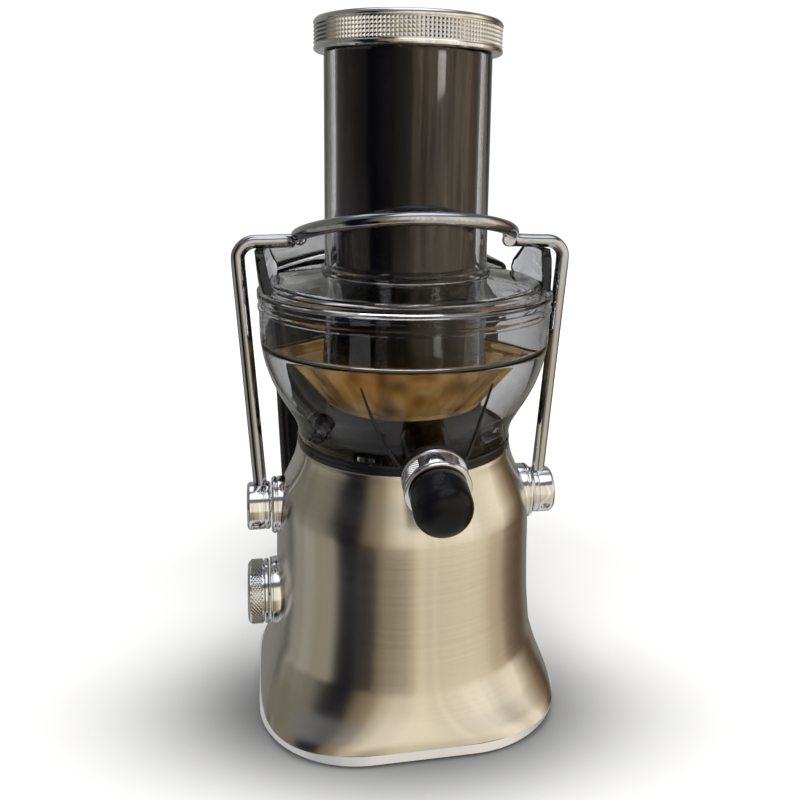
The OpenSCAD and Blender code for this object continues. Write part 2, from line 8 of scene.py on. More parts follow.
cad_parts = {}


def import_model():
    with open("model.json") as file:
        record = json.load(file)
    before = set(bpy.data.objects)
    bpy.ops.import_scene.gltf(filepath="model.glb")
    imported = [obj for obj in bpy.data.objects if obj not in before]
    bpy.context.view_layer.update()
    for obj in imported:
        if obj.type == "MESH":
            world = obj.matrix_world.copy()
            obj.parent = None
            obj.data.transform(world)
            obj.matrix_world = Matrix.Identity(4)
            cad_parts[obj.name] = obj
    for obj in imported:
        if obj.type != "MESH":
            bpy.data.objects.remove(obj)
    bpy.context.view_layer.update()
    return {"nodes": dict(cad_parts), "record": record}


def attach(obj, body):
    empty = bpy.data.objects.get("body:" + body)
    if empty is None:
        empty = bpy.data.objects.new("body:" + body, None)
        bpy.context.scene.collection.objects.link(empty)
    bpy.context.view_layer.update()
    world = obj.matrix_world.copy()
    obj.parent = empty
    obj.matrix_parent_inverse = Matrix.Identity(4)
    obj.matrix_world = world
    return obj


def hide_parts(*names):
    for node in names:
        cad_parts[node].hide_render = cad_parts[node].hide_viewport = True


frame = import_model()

MM = 0.001
PI = math.pi
SCENE = bpy.context.scene
NODES = frame["nodes"]
SLOT = {s["node"]: s["material_slot"] for s in frame["record"]["subparts"]}


# ------------------------------------------------------------------ camera
def make_camera():
    cam = bpy.data.cameras.new("camera")
    ob = bpy.data.objects.new("camera", cam)
    SCENE.collection.objects.link(ob)
    C = Vector((-0.06953, -0.43688, 0.29548))
    fwd = Vector((0.18671, 0.96436, -0.18747)).normalized()
    right = Vector((0.98226, -0.18664, 0.01819)).normalized()
    up = right.cross(fwd)
    m = Matrix((right, up, -fwd)).transposed().to_4x4()
    m.translation = C
    ob.matrix_world = m
    cam.sensor_width = 36
    cam.sensor_fit = "HORIZONTAL"
    cam.lens = 36 * 854.643 / 800
    cam.shift_x = (400 - 433.379) / 800
    cam.shift_y = (305.0 - 400) / 800
    cam.clip_start = 0.01
    cam.clip_end = 50
    SCENE.camera = ob


make_camera()


# ------------------------------------------------------------------ shape helpers (millimetres)
def fillet(poly, radii, n=4):
    """Rounds the corners of a closed outline."""
    out, k = [], len(poly)
    for i, p in enumerate(poly):
        r = radii if isinstance(radii, (int, float)) else radii[i]
        a, b = poly[i - 1], poly[(i + 1) % k]
        ax, ay, bx, by = a[0] - p[0], a[1] - p[1], b[0] - p[0], b[1] - p[1]
        la, lb = math.hypot(ax, ay), math.hypot(bx, by)
        if r <= 0 or la < 1e-6 or lb < 1e-6 or p[0] < 1e-4:
            out.append(p)
            continue
        ax, ay, bx, by = ax / la, ay / la, bx / lb, by / lb
        ang = math.acos(max(-1, min(1, ax * bx + ay * by)))
        if ang > PI - 0.05 or ang < 0.02:
            out.append(p)
            continue
        t = min(r / math.tan(ang / 2), 0.45 * la, 0.45 * lb)
        rr = t * math.tan(ang / 2)
        mx, my = ax + bx, ay + by
        ml = math.hypot(mx, my)
        d = rr / math.sin(ang / 2)
        cx, cy = p[0] + mx / ml * d, p[1] + my / ml * d
        a0 = math.atan2(p[1] + ay * t - cy, p[0] + ax * t - cx)
        a1 = math.atan2(p[1] + by * t - cy, p[0] + bx * t - cx)
        dl = (a1 - a0 + PI) % (2 * PI) - PI
        for j in range(n + 1):
            q = a0 + dl * j / n
            out.append((cx + rr * math.cos(q), cy + rr * math.sin(q)))
    return out


def pchip(pts, x):
    """Smooth monotone curve through pts = [(x, y), ...], x rising."""
    n = len(pts)
    if x <= pts[0][0]:
        return pts[0][1]
    if x >= pts[-1][0]:
        return pts[-1][1]
    h = [pts[i + 1][0] - pts[i][0] for i in range(n - 1)]
    d = [(pts[i + 1][1] - pts[i][1]) / h[i] for i in range(n - 1)]
    m = [d[0]] + [0.0] * (n - 2) + [d[-1]]
    for i in range(1, n - 1):
        if d[i - 1] * d[i] > 0:
            w1, w2 = 2 * h[i] + h[i - 1], h[i] + 2 * h[i - 1]
            m[i] = (w1 + w2) / (w1 / d[i - 1] + w2 / d[i])
    i = max(j for j in range(n - 1) if pts[j][0] <= x)
    t = (x - pts[i][0]) / h[i]
    return ((2 * t**3 - 3 * t**2 + 1) * pts[i][1] + (t**3 - 2 * t**2 + t) * h[i] * m[i]
            + (-2 * t**3 + 3 * t**2) * pts[i + 1][1] + (t**3 - t**2) * h[i] * m[i + 1])


def catmull(pts, per):
    """Smooth 3-D curve through pts, per points between each pair."""
    P = [Vector(p) for p in pts]
    P = [P[0] * 2 - P[1]] + P + [P[-1] * 2 - P[-2]]
    out = []
    for i in range(1, len(P) - 2):
        p0, p1, p2, p3 = P[i - 1], P[i], P[i + 1], P[i + 2]
        for j in range(per):
            t = j / per
            out.append(0.5 * ((2 * p1) + (p2 - p0) * t + (2 * p0 - 5 * p1 + 4 * p2 - p3) * t * t
                              + (3 * p1 - p0 - 3 * p2 + p3) * t**3))
    out.append(P[-2].copy())
    return out


def loft(rings, closed=True, cap_a=False, cap_b=False):
    V, F, k = [], [], len(rings[0])
    for r in rings:
        V += [tuple(p) for p in r]
    m = len(rings)
    for i in range(m if closed else m - 1):
        a, b = i * k, ((i + 1) % m) * k
        for j in range(k):
            j2 = (j + 1) % k
            F.append((a + j, a + j2, b + j2, b + j))
    if cap_a:
        F.append(tuple(range(k - 1, -1, -1)))
    if cap_b:
        F.append(tuple(range((m - 1) * k, m * k)))
    return V, F


def revolve(profile, n=144, rfun=None):
    """Closed profile [(r, z)] turned about Z; rfun(i, r, z, angle) may change the radius."""
    V, F, idx = [], [], []
    for i, (r, z) in enumerate(profile):
        if r < 1e-4:
            idx.append([len(V)])
            V.append((0.0, 0.0, z))
        else:
            idx.append(list(range(len(V), len(V) + n)))
            for j in range(n):
                a = 2 * PI * j / n
                q = rfun(i, r, z, a) if rfun else r
                V.append((q * math.cos(a), q * math.sin(a), z))
    k = len(profile)
    for i in range(k):
        A, B = idx[i], idx[(i + 1) % k]
        if len(A) == 1 and len(B) == 1:
            continue
        for j in range(n):
            j2 = (j + 1) % n
            if len(A) == 1:
                F.append((A[0], B[j2], B[j]))
            elif len(B) == 1:
                F.append((A[j], A[j2], B[0]))
            else:
                F.append((A[j], A[j2], B[j2], B[j]))
    return V, F


def tube(path, rad, n=24, flat=1.0, chamfer=0.5):
    """Round rod along a path with chamfered ends; rad may be a list."""
    P = [Vector(p) for p in path]
    R = rad if isinstance(rad, (list, tuple)) else [rad] * len(P)
    T = [(P[min(i + 1, len(P) - 1)] - P[max(i - 1, 0)]).normalized() for i in range(len(P))]
    up = Vector((0, 0, 1)) if abs(T[0].z) < 0.9 else Vector((0, 1, 0))
    a = T[0].cross(up).normalized()
    rings = []

    def ring(c, t, a, r):
        b = t.cross(a)
        return [c + a * (r * flat * math.cos(2 * PI * j / n)) + b * (r * math.sin(2 * PI * j / n)) for j in range(n)]

    for i, (p, t) in enumerate(zip(P, T)):
        a = (a - t * a.dot(t)).normalized()
        if i == 0:
            rings.append(ring(p, t, a, max(R[0] - chamfer, R[0] * 0.3)))
            rings.append(ring(p + t * min(chamfer, R[0] * 0.3), t, a, R[0]))
        elif i == len(P) - 1:
            rings.append(ring(p - t * min(chamfer, R[-1] * 0.3), t, a, R[-1]))
            rings.append(ring(p, t, a, max(R[-1] - chamfer, R[-1] * 0.3)))
        else:
            rings.append(ring(p, t, a, R[i]))
    return loft(rings, closed=False, cap_a=True, cap_b=True)


def ball(c, rx, ry, rz, n=16, m=10):
    rings = []
    for i in range(1, m):
        e = -PI / 2 + PI * i / m
        rings.append([(c[0] + rx * math.cos(e) * math.cos(2 * PI * j / n),
                       c[1] + ry * math.cos(e) * math.sin(2 * PI * j / n), c[2] + rz * math.sin(e)) for j in range(n)])
    V, F = loft(rings, closed=False)
    a, b = len(V), len(V) + 1
    V += [(c[0], c[1], c[2] - rz), (c[0], c[1], c[2] + rz)]
    k = len(rings) - 1
    for j in range(n):
        F.append((a, (j + 1) % n, j))
        F.append((b, k * n + j, k * n + (j + 1) % n))
    return V, F


def join(*parts):
    V, F = [], []
    for v, f in parts:
        o = len(V)
        V += list(v)
        F += [tuple(i + o for i in q) for q in f]
    return V, F


def moved(part, fn):
    V, F = part
    return [fn(*p) for p in V], F


def to_x(sx, x0=0.0, y0=0.0, z0=0.0):
    """Local z becomes sx*X."""
    return lambda x, y, z: (x0 + sx * z, y0 + x, z0 + y)


def to_front(z0):
    """Local z becomes -Y."""
    return lambda x, y, z: (x, -z, z0 + y)


TILT = math.radians(16)


def tilted(part):
    """Turns the spout's pieces down about the middle of the knurled ring."""
    c, k = math.cos(TILT), math.sin(TILT)
    return moved(part, lambda x, y, z: (x, -93 + c * (y + 93) - k * (z - 149), 149 + k * (y + 93) + c * (z - 149)))


def mesh_ob(name, part):
    me = bpy.data.meshes.new(name)
    me.from_pydata([(p[0] * MM, p[1] * MM, p[2] * MM) for p in part[0]], [], part[1])
    bm = bmesh.new()
    bm.from_mesh(me)
    bmesh.ops.remove_doubles(bm, verts=bm.verts, dist=2e-7)
    bmesh.ops.recalc_face_normals(bm, faces=bm.faces)
    bm.to_mesh(me)
    bm.free()
    ob = bpy.data.objects.new(name, me)
    SCENE.collection.objects.link(ob)
    return ob


def boolean(ob, *cuts):
    """cuts: (operation, part)"""
    for i, (op, part) in enumerate(cuts):
        c = mesh_ob("cut", part)
        md = ob.modifiers.new("cut", "BOOLEAN")
        md.operation, md.solver, md.object = op, "EXACT", c
        dg = bpy.context.evaluated_depsgraph_get()
        me = bpy.data.meshes.new_from_object(ob.evaluated_get(dg))
        ob.modifiers.clear()
        old = ob.data
        ob.data = me
        bpy.data.meshes.remove(old)
        cm = c.data
        bpy.data.objects.remove(c)
        bpy.data.meshes.remove(cm)
    bm = bmesh.new()
    bm.from_mesh(ob.data)
    bmesh.ops.remove_doubles(bm, verts=bm.verts, dist=1e-6)
    bmesh.ops.dissolve_degenerate(bm, edges=bm.edges, dist=1e-6)
    bm.to_mesh(ob.data)
    bm.free()
    return ob


def finish(ob, mat, body, hide=(), sharp=34):
    me = ob.data
    me.materials.clear()
    me.materials.append(mat)
    me.shade_smooth()
    me.set_sharp_from_angle(angle=math.radians(sharp))
    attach(ob, body)
    if hide:
        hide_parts(*hide)
    return ob


def piece(name, part, mat, body, hide=(), cuts=(), sharp=34):
    ob = mesh_ob(name, part)
    if cuts:
        boolean(ob, *cuts)
    return finish(ob, mat, body, hide, sharp)


def rr_loop(hx, hy, r, z, n=20, cx=0.0, cy=0.0):
    """Rounded rectangle loop."""
    out = []
    r = max(min(r, hx - 0.01, hy - 0.01), 0.05)
    for q, (sx, sy) in enumerate(((1, 1), (-1, 1), (-1, -1), (1, -1))):
        for j in range(n + 1):
            a = PI / 2 * (q + j / n)
            out.append((cx + sx * (hx - r) + r * math.cos(a), cy + sy * (hy - r) + r * math.sin(a), z))
    return out


# ------------------------------------------------------------------ material helpers
def new_mat(name):
    m = bpy.data.materials.new(name)
    m.use_nodes = True
    m.node_tree.nodes.clear()
    return m, m.node_tree


def nd(nt, kind, ins=None, **props):
    n = nt.nodes.new("ShaderNode" + kind)
    for k, v in props.items():
        setattr(n, k, v)
    for k, v in (ins or {}).items():
        s = n.inputs[k]
        if isinstance(v, bpy.types.NodeSocket):
            nt.links.new(v, s)
        elif isinstance(v, bpy.types.Node):
            nt.links.new(v.outputs[0], s)
        else:
            s.default_value = v
    return n


def ramp(nt, fac, stops, mode="LINEAR"):
    n = nt.nodes.new("ShaderNodeValToRGB")
    n.color_ramp.interpolation = mode
    el = n.color_ramp.elements
    while len(el) > 1:
        el.remove(el[-1])
    el[0].position, el[0].color = stops[0][0], (*stops[0][1], 1)
    for p, c in stops[1:]:
        e = el.new(p)
        e.color = (*c, 1)
    nt.links.new(fac, n.inputs[0])
    return n


def grey(v):
    return (v, v, v)


def coords(nt, scale=(1, 1, 1)):
    tc = nd(nt, "TexCoord")
    return nd(nt, "Mapping", {"Vector": tc.outputs["Object"], "Scale": scale})


def noise(nt, scale3, scale=1.0, detail=2.0, rough=0.5, dist=0.0):
    return nd(nt, "TexNoise", {"Vector": coords(nt, scale3), "Scale": scale, "Detail": detail, "Roughness": rough,
                               "Distortion": dist})


def out(nt, shader):
    o = nd(nt, "OutputMaterial")
    nt.links.new(shader if isinstance(shader, bpy.types.NodeSocket) else shader.outputs[0], o.inputs["Surface"])


def remap(nt, val, lo, hi, a=0.0, b=1.0):
    return nd(nt, "MapRange", {"Value": val, "From Min": a, "From Max": b, "To Min": lo, "To Max": hi}).outputs[0]


def srgb(*c):
    r = tuple((v / 12.92) if v <= 0.04045 else ((v + 0.055) / 1.055) ** 2.4 for v in c)
    return r if len(r) == 3 else (r[0], r[0], r[0])


def metal(name, col, rough, spread=0.04, smudge=40.0, aniso=0.0, brushed=False, bump=0.0, dark=0.9):
    m, nt = new_mat(name)
    n1 = noise(nt, (1, 1, 1), smudge, 4, 0.6)
    fac = n1.outputs[0]
    if brushed:
        n2 = noise(nt, (26, 26, 4200), 1.0, 3, 0.65)
        n3 = noise(nt, (9, 9, 1500), 1.0, 2, 0.5)
        mx = nd(nt, "Math", {0: n2.outputs[0], 1: n3.outputs[0]}, operation="ADD")
        fac = nd(nt, "Math", {0: mx, 1: 0.5}, operation="MULTIPLY").outputs[0]
    c = ramp(nt, fac, [(0.3, tuple(v * dark for v in col)), (0.7, col)])
    b = nd(nt, "BsdfPrincipled", {"Base Color": c, "Metallic": 1.0,
                                  "Roughness": remap(nt, fac, rough - spread, rough + spread, 0.3, 0.7)})
    if aniso:
        b.inputs["Anisotropic"].default_value = aniso
        b.inputs["Anisotropic Rotation"].default_value = 0.25
        nt.links.new(nd(nt, "Tangent", direction_type="RADIAL", axis="Z").outputs[0], b.inputs["Tangent"])
    if bump:
        bp = nd(nt, "Bump", {"Strength": bump, "Distance": 0.0001, "Height": fac})
        nt.links.new(bp.outputs[0], b.inputs["Normal"])
    out(nt, b)
    return m


def plastic(name, col, rough, grain=900.0, bump=0.05, spread=0.05, coat=0.0, vary=1.3, spec=0.5):
    m, nt = new_mat(name)
    n1 = noise(nt, (1, 1, 1), 60.0, 4, 0.6)
    n2 = noise(nt, (1, 1, 1), grain, 2, 0.5)
    c = ramp(nt, n1.outputs[0], [(0.3, col), (0.7, tuple(v * vary for v in col))])
    b = nd(nt, "BsdfPrincipled", {"Base Color": c, "Roughness": remap(nt, n1.outputs[0], rough - spread, rough + spread, 0.3, 0.7),
                                  "Specular IOR Level": spec, "Coat Weight": coat, "Coat Roughness": 0.06})
    bp = nd(nt, "Bump", {"Strength": bump, "Distance": 0.0001, "Height": n2.outputs[0]})
    nt.links.new(bp.outputs[0], b.inputs["Normal"])
    out(nt, b)
    return m


def clear(name, tint, shadow, rough=0.015, ripple=0.06, ior=1.49, haze=0.0, haze_col=(0.5, 0.5, 0.5), absorb=None, glint=0.65):
    m, nt = new_mat(name)
    n1 = noise(nt, (1, 1, 0.35), 55.0, 2, 0.5)
    n2 = noise(nt, (1, 1, 1), 300.0, 3, 0.6)
    bp = nd(nt, "Bump", {"Strength": ripple, "Distance": 0.001, "Height": n1.outputs[0]})
    col = ramp(nt, n2.outputs[0], [(0.3, tuple(v * 0.97 for v in tint)), (0.7, tint)])
    b = nd(nt, "BsdfPrincipled", {"Base Color": col, "IOR": ior, "Transmission Weight": 1.0,
                                  "Roughness": remap(nt, n2.outputs[0], rough * 0.5, rough * 1.6, 0.3, 0.7),
                                  "Specular Tint": (glint, glint, glint, 1), "Normal": bp})
    body = b.outputs[0]
    if haze:
        n3 = noise(nt, (1, 1, 0.05), 85.0, 1, 0.4)
        hc = ramp(nt, n3.outputs[0], [(0.36, tuple(v * 0.25 for v in haze_col)), (0.46, tuple(v * 0.65 for v in haze_col)),
                                      (0.56, haze_col), (0.62, tuple(min(1.0, v * 1.15 + 0.06) for v in haze_col))])
        d = nd(nt, "BsdfDiffuse", {"Color": hc})
        g = nd(nt, "BsdfAnisotropic", {"Color": hc, "Roughness": 0.2, "Normal": bp})
        hz = nd(nt, "MixShader", {0: 0.4, 1: d, 2: g})
        body = nd(nt, "MixShader", {0: haze, 1: b, 2: hz}).outputs[0]
    tr = nd(nt, "BsdfTransparent", {"Color": (*shadow, 1)})
    lp = nd(nt, "LightPath")
    f = nd(nt, "Math", {0: lp.outputs["Is Shadow Ray"], 1: lp.outputs["Is Diffuse Ray"]}, operation="MAXIMUM")
    out(nt, nd(nt, "MixShader", {0: f, 1: body, 2: tr}))
    if absorb:
        v = nd(nt, "VolumeAbsorption", {"Color": (*absorb[0], 1), "Density": absorb[1]})
        o = next(n for n in nt.nodes if n.bl_idname == "ShaderNodeOutputMaterial")
        nt.links.new(v.outputs[0], o.inputs["Volume"])
    return m


def sieve_material():
    """Etched sheet: fine round holes in staggered rows."""
    m, nt = new_mat("etched_sieve")
    tc = nd(nt, "TexCoord").outputs["Object"]
    sx = nd(nt, "SeparateXYZ", {0: tc})
    ang = nd(nt, "Math", {0: sx.outputs[1], 1: sx.outputs[0]}, operation="ARCTAN2").outputs[0]
    u = nd(nt, "Math", {0: ang, 1: 240 / (2 * PI)}, operation="MULTIPLY").outputs[0]
    v = nd(nt, "Math", {0: sx.outputs[2], 1: 900.0}, operation="MULTIPLY").outputs[0]
    fu = nd(nt, "Math", {0: nd(nt, "Math", {0: u, 1: 2 * PI}, operation="MULTIPLY")}, operation="COSINE").outputs[0]
    fv = nd(nt, "Math", {0: nd(nt, "Math", {0: v, 1: 2 * PI}, operation="MULTIPLY")}, operation="COSINE").outputs[0]
    s = nd(nt, "Math", {0: fu, 1: fv}, operation="MULTIPLY").outputs[0]
    hole = nd(nt, "MapRange", {"Value": s, "From Min": -0.35, "From Max": -0.15, "To Min": 0.0, "To Max": 1.0}).outputs[0]
    b = nd(nt, "BsdfPrincipled", {"Base Color": (0.88, 0.67, 0.36, 1), "Metallic": 0.5, "Roughness": 0.3})
    n2 = noise(nt, (1, 1, 1), 500.0, 3, 0.6)
    nt.links.new(remap(nt, n2.outputs[0], 0.36, 0.56, 0.3, 0.7), b.inputs["Roughness"])
    tr = nd(nt, "BsdfTransparent")
    out(nt, nd(nt, "MixShader", {0: hole, 1: b, 2: tr}))
    return m


STEEL = metal("brushed_steel", (0.81, 0.785, 0.74), 0.24, 0.03, aniso=0.85, brushed=True, bump=0.06, dark=0.93)
CHROME = metal("polished_chrome", (0.84, 0.86, 0.91), 0.07, 0.03, 90.0, dark=0.95)
CHROME_DARK = metal("rod_chrome", (0.55, 0.59, 0.67), 0.05, 0.02, 120.0, dark=0.92)


def trim_material():
    m, nt = new_mat("foot_trim_metal")
    n1 = noise(nt, (30, 30, 400), 1.0, 3, 0.6)
    n2 = noise(nt, (1, 1, 1), 35.0, 3, 0.6)
    c = ramp(nt, n2.outputs[0], [(0.3, (0.80, 0.80, 0.81)), (0.7, (0.92, 0.92, 0.93))])
    b = nd(nt, "BsdfPrincipled", {"Base Color": c, "Metallic": 1.0, "Roughness": remap(nt, n1.outputs[0], 0.14, 0.26, 0.3, 0.7)})
    d = nd(nt, "BsdfDiffuse", {"Color": (0.86, 0.86, 0.87, 1)})
    out(nt, nd(nt, "MixShader", {0: 0.5, 1: b, 2: d}))
    return m


TRIM = trim_material()
GLOSS = plastic("black_gloss", (0.005, 0.005, 0.006), 0.10, 400.0, 0.015, 0.04, spec=0.42)
SATIN = plastic("black_satin", (0.002, 0.002, 0.003), 0.27, 1500.0, 0.05, 0.05, spec=0.2)
MATT = plastic("black_moulded", (0.018, 0.018, 0.020), 0.5, 1400.0, 0.3, 0.08)
RUBBER = plastic("rubber", (0.014, 0.014, 0.015), 0.7, 2200.0, 0.4, 0.08, spec=0.3)
SMOKE = clear("smoked_clear", (0.59, 0.595, 0.605), (0.86, 0.86, 0.87), glint=0.38)
SMOKE_TUBE = clear("smoked_tube", (0.71, 0.71, 0.72), (0.80, 0.80, 0.82), glint=0.3)
SMOKE_DEEP = clear("smoked_spout", (0.10, 0.10, 0.11), (0.10, 0.10, 0.11), glint=0.5)
SMOKE_THICK = clear("smoked_lug", (0.74, 0.74, 0.75), (0.5, 0.5, 0.52), absorb=((0.30, 0.31, 0.33), 170.0))
AMBER = clear("amber_clear", (1.0, 0.73, 0.36), (1.0, 0.80, 0.46), 0.03, 0.35, 1.5, 0.40, (1.0, 0.61, 0.21), glint=1.0)
PUSHER = plastic("pusher_black", (0.004, 0.004, 0.005), 0.06, 400.0, 0.01, 0.02, coat=1.0, spec=1.0)
SEAL = plastic("seal_rubber", (0.030, 0.024, 0.018), 0.45, 1800.0, 0.2, 0.08, spec=0.4)
SIEVE = sieve_material()
BY_SLOT = {
    "brushed_steel": STEEL, "chrome": CHROME, "black_plastic": MATT, "black_gloss": GLOSS, "black_satin": SATIN,
    "rubber": RUBBER, "smoke_clear": SMOKE, "amber_clear": AMBER, "mesh_steel": SIEVE,
    "screw_steel": metal("zinc_screws", (0.55, 0.55, 0.57), 0.32, 0.08, 300.0, dark=0.8),
    "sheet_steel": metal("sheet_steel", (0.56, 0.56, 0.57), 0.36, 0.1, 60.0, bump=0.2, dark=0.85),
    "cast_metal": metal("cast_aluminium", (0.62, 0.62, 0.63), 0.5, 0.1, 700.0, bump=0.9, dark=0.85),
    "bearing_steel": metal("ground_steel", (0.72, 0.72, 0.74), 0.16, 0.06, 250.0, dark=0.9),
    "laminated_steel": metal("laminations", (0.20, 0.19, 0.18), 0.45, 0.1, 80.0, dark=0.7),
    "copper": metal("enamelled_copper", (0.72, 0.33, 0.14), 0.28, 0.08, 500.0, bump=0.5, dark=0.75),
    "brass": metal("brass", (0.74, 0.56, 0.28), 0.3, 0.06, 120.0, dark=0.8),
    "board": plastic("circuit_board", (0.02, 0.09, 0.04), 0.3, 300.0, 0.3, vary=1.8),
}
GRATER = metal("etched_steel", (0.74, 0.73, 0.71), 0.22, 0.06, 200.0, dark=0.88)
for name, ob in NODES.items():
    mat = GRATER if name == "grater_disc" else BY_SLOT[SLOT[name]]
    for s in ob.material_slots:
        s.material = mat

# ------------------------------------------------------------------ steel shell
PROF = [(6.5, 79.4, 3.4), (10, 79.0, 3.1), (14, 77.8, 2.7), (20, 75.7, 2.3), (26, 74.0, 2.12), (34, 72.1, 2),
        (44, 71.0, 2), (58, 69.9, 2), (76, 69.3, 2), (94, 69.0, 2), (105, 68.5, 2), (113, 66.7, 2), (120, 63.6, 2),
        (127, 60.4, 2), (133, 58.4, 2), (138, 57.5, 2)]
W_OF = [(p[0], p[1] * 0.99) for p in PROF]
N_OF = [(p[0], p[2]) for p in PROF]


def shell_ring(z, inset, n=200):
    w, e = pchip(W_OF, z) - inset, max(2.0, pchip(N_OF, z))
    r = []
    for j in range(n):
        a = 2 * PI * j / n
        q = w / (abs(math.cos(a))**e + abs(math.sin(a))**e)**(1 / e)
        r.append((q * math.cos(a), q * math.sin(a), z))
    return r


def body_shell():
    rings = []
    for a in (0, 30, 60):
        r = shell_ring(6.5, 0.6 - 0.6 * math.sin(math.radians(a)))
        rings.append([(p[0], p[1], 6.5 + 0.6 - 0.6 * math.cos(math.radians(a))) for p in r])
    zs = [7.1 + (34 - 7.1) * i / 20 for i in range(21)] + [34 + (105 - 34) * i / 22 for i in range(1, 23)] \
        + [105 + (137.3 - 105) * i / 22 for i in range(1, 23)]
    rings += [shell_ring(z, 0) for z in zs]
    for a in (30, 60, 90):
        r = shell_ring(138, 0.7 * (1 - math.cos(math.radians(a))))
        rings.append([(p[0], p[1], 137.3 + 0.7 * math.sin(math.radians(a))) for p in r])
    zi = [138] + [z for z in zs[::-2]] + [6.5]
    rings += [shell_ring(z, 1.6) for z in zi]
    cyl = lambda r, a, b, fn: moved(revolve([(0, a), (r, a), (r, b), (0, b)], 96), fn)
    ob = mesh_ob("steel_shell", loft(rings))
    c40, s40 = math.cos(math.radians(40)), math.sin(math.radians(40))
    boolean(ob, ("DIFFERENCE", cyl(17.8, 50, 90, to_x(-1, 0, 0, 54))),
            ("DIFFERENCE", cyl(15, 50, 90, to_x(1, 0, 0, 103.5))),
            ("DIFFERENCE", cyl(15, 50, 90, to_x(-1, 0, 0, 103.5))),
            ("DIFFERENCE", cyl(8, 60, 100, lambda x, y, z: (z * c40 - x * s40, z * s40 + x * c40, 34 + y))))
    finish(ob, STEEL, "base", ("body_shell",), 30)


body_shell()

# foot trim
prof = fillet([(0, 1.5), (0, 6.4), (2, 6.4), (2, 1.5)], [0.9, 0.7, 0.4, 0.4], 4)
piece("foot_trim", loft([rr_loop(79 - d, 78 - d, 54 - d, z, 28) for d, z in prof]), TRIM, "base", ("base_trim",))

# ------------------------------------------------------------------ knob and pivots
def diamond_ring(R, depth, z0, z1, rows, cols):
    """Grid of a diamond knurl, as rings from z0 to z1, and its faces."""
    V, F = [], []
    for i in range(rows + 1):
        for j in range(cols):
            a = 2 * PI * j / cols
            q = R if (i + j) % 2 else R - depth
            if i in (0, rows):
                q = R - depth
            V.append((q * math.cos(a), q * math.sin(a), z0 + (z1 - z0) * i / rows))
    for i in range(rows):
        for j in range(cols):
            a, b = i * cols + j, i * cols + (j + 1) % cols
            c, d = a + cols, b + cols
            if (i + j) % 2:
                F += [(a, b, c), (b, d, c)]
            else:
                F += [(a, b, d), (a, d, c)]
    return V, F


def knurled(part, lower, upper, cols):
    """Closes a knurled band with profile rings below and above it; profiles run outward to the band and back."""
    V, F = part
    V, F = list(V), list(F)
    n = len(V)
    first = list(range(cols))
    last = list(range(n - cols, n))

    def ring(r, z):
        k = len(V)
        if r < 1e-4:
            V.append((0.0, 0.0, z))
            return [k]
        for j in range(cols):
            a = 2 * PI * j / cols
            V.append((r * math.cos(a), r * math.sin(a), z))
        return list(range(k, k + cols))

    def bridge(A, B):
        for j in range(cols):
            j2 = (j + 1) % cols
            if len(A) == 1 and len(B) == 1:
                return
            if len(A) == 1:
                F.append((A[0], B[j2], B[j]))
            elif len(B) == 1:
                F.append((A[j], A[j2], B[0]))
            else:
                F.append((A[j], A[j2], B[j2], B[j]))

    cur = last
    for r, z in upper:
        nx = ring(r, z)
        bridge(cur, nx)
        cur = nx
    for r, z in lower:
        nx = ring(r, z)
        bridge(cur, nx)
        cur = nx
    bridge(cur, first)
    return V, F


def knob():
    cols = 96
    band = diamond_ring(17.0, 0.75, 76.2, 82.8, 8, cols)
    upper = [(16.1, 83.1), (15.6, 83.6), (14.9, 84.0), (14.2, 84.2), (13.5, 84.2), (13.1, 83.9), (12.8, 83.5), (12.2, 83.3),
             (6, 83.0), (0, 82.9)]
    lower = [(0, 73.05), (15.6, 73.05), (16.4, 73.3), (16.75, 73.9), (16.75, 74.9), (16.5, 75.4), (15.9, 75.6), (15.7, 75.9)]
    part = moved(knurled(band, lower, upper, cols), to_x(-1, 0, 0, 54))
    slot = [(-86, -0.7, 54 + 7.5), (-86, 0.7, 54 + 7.5), (-86, 0.7, 54 + 16.2), (-86, -0.7, 54 + 16.2)]
    cut = ([*slot, *[(-82.6, p[1], p[2]) for p in slot]], [(3, 2, 1, 0), (4, 5, 6, 7), (0, 1, 5, 4), (1, 2, 6, 5), (2, 3, 7, 6), (3, 0, 4, 7)])
    piece("speed_knob", part, CHROME, "knob", ("control_knob",), [("DIFFERENCE", cut)], 24)
    bez = fillet([(3.4, 65.5), (17.75, 65.5), (17.75, 70.9), (17.3, 71.3), (17.3, 71.7), (17.7, 72.0), (17.1, 72.6), (15.4, 72.6), (14.8, 72.1), (3.4, 72.1)],
                 [0.2, 0.4, 0.3, 0.1, 0.1, 0.2, 0.5, 0.4, 0.2, 0.2], 3)
    piece("knob_surround", moved(revolve(bez, 96), to_x(-1, 0, 0, 54)), CHROME, "base", ("knob_bezel",))


knob()

bush = fillet([(4.05, 62), (14.95, 62), (14.95, 67.6), (14.4, 68.0), (14.4, 68.5), (14.9, 68.9), (14.9, 69.9), (13.9, 71), (4.05, 71)],
              [0.1, 0.3, 0.2, 0.1, 0.1, 0.2, 0.5, 0.5, 0.1], 3)
for s, side in ((1, "right"), (-1, "left")):
    piece("pivot_flange_" + side, moved(revolve(bush, 96), to_x(s, 0, 0, 103.5)), CHROME, "base",
          ("pivot_bush_" + side,))

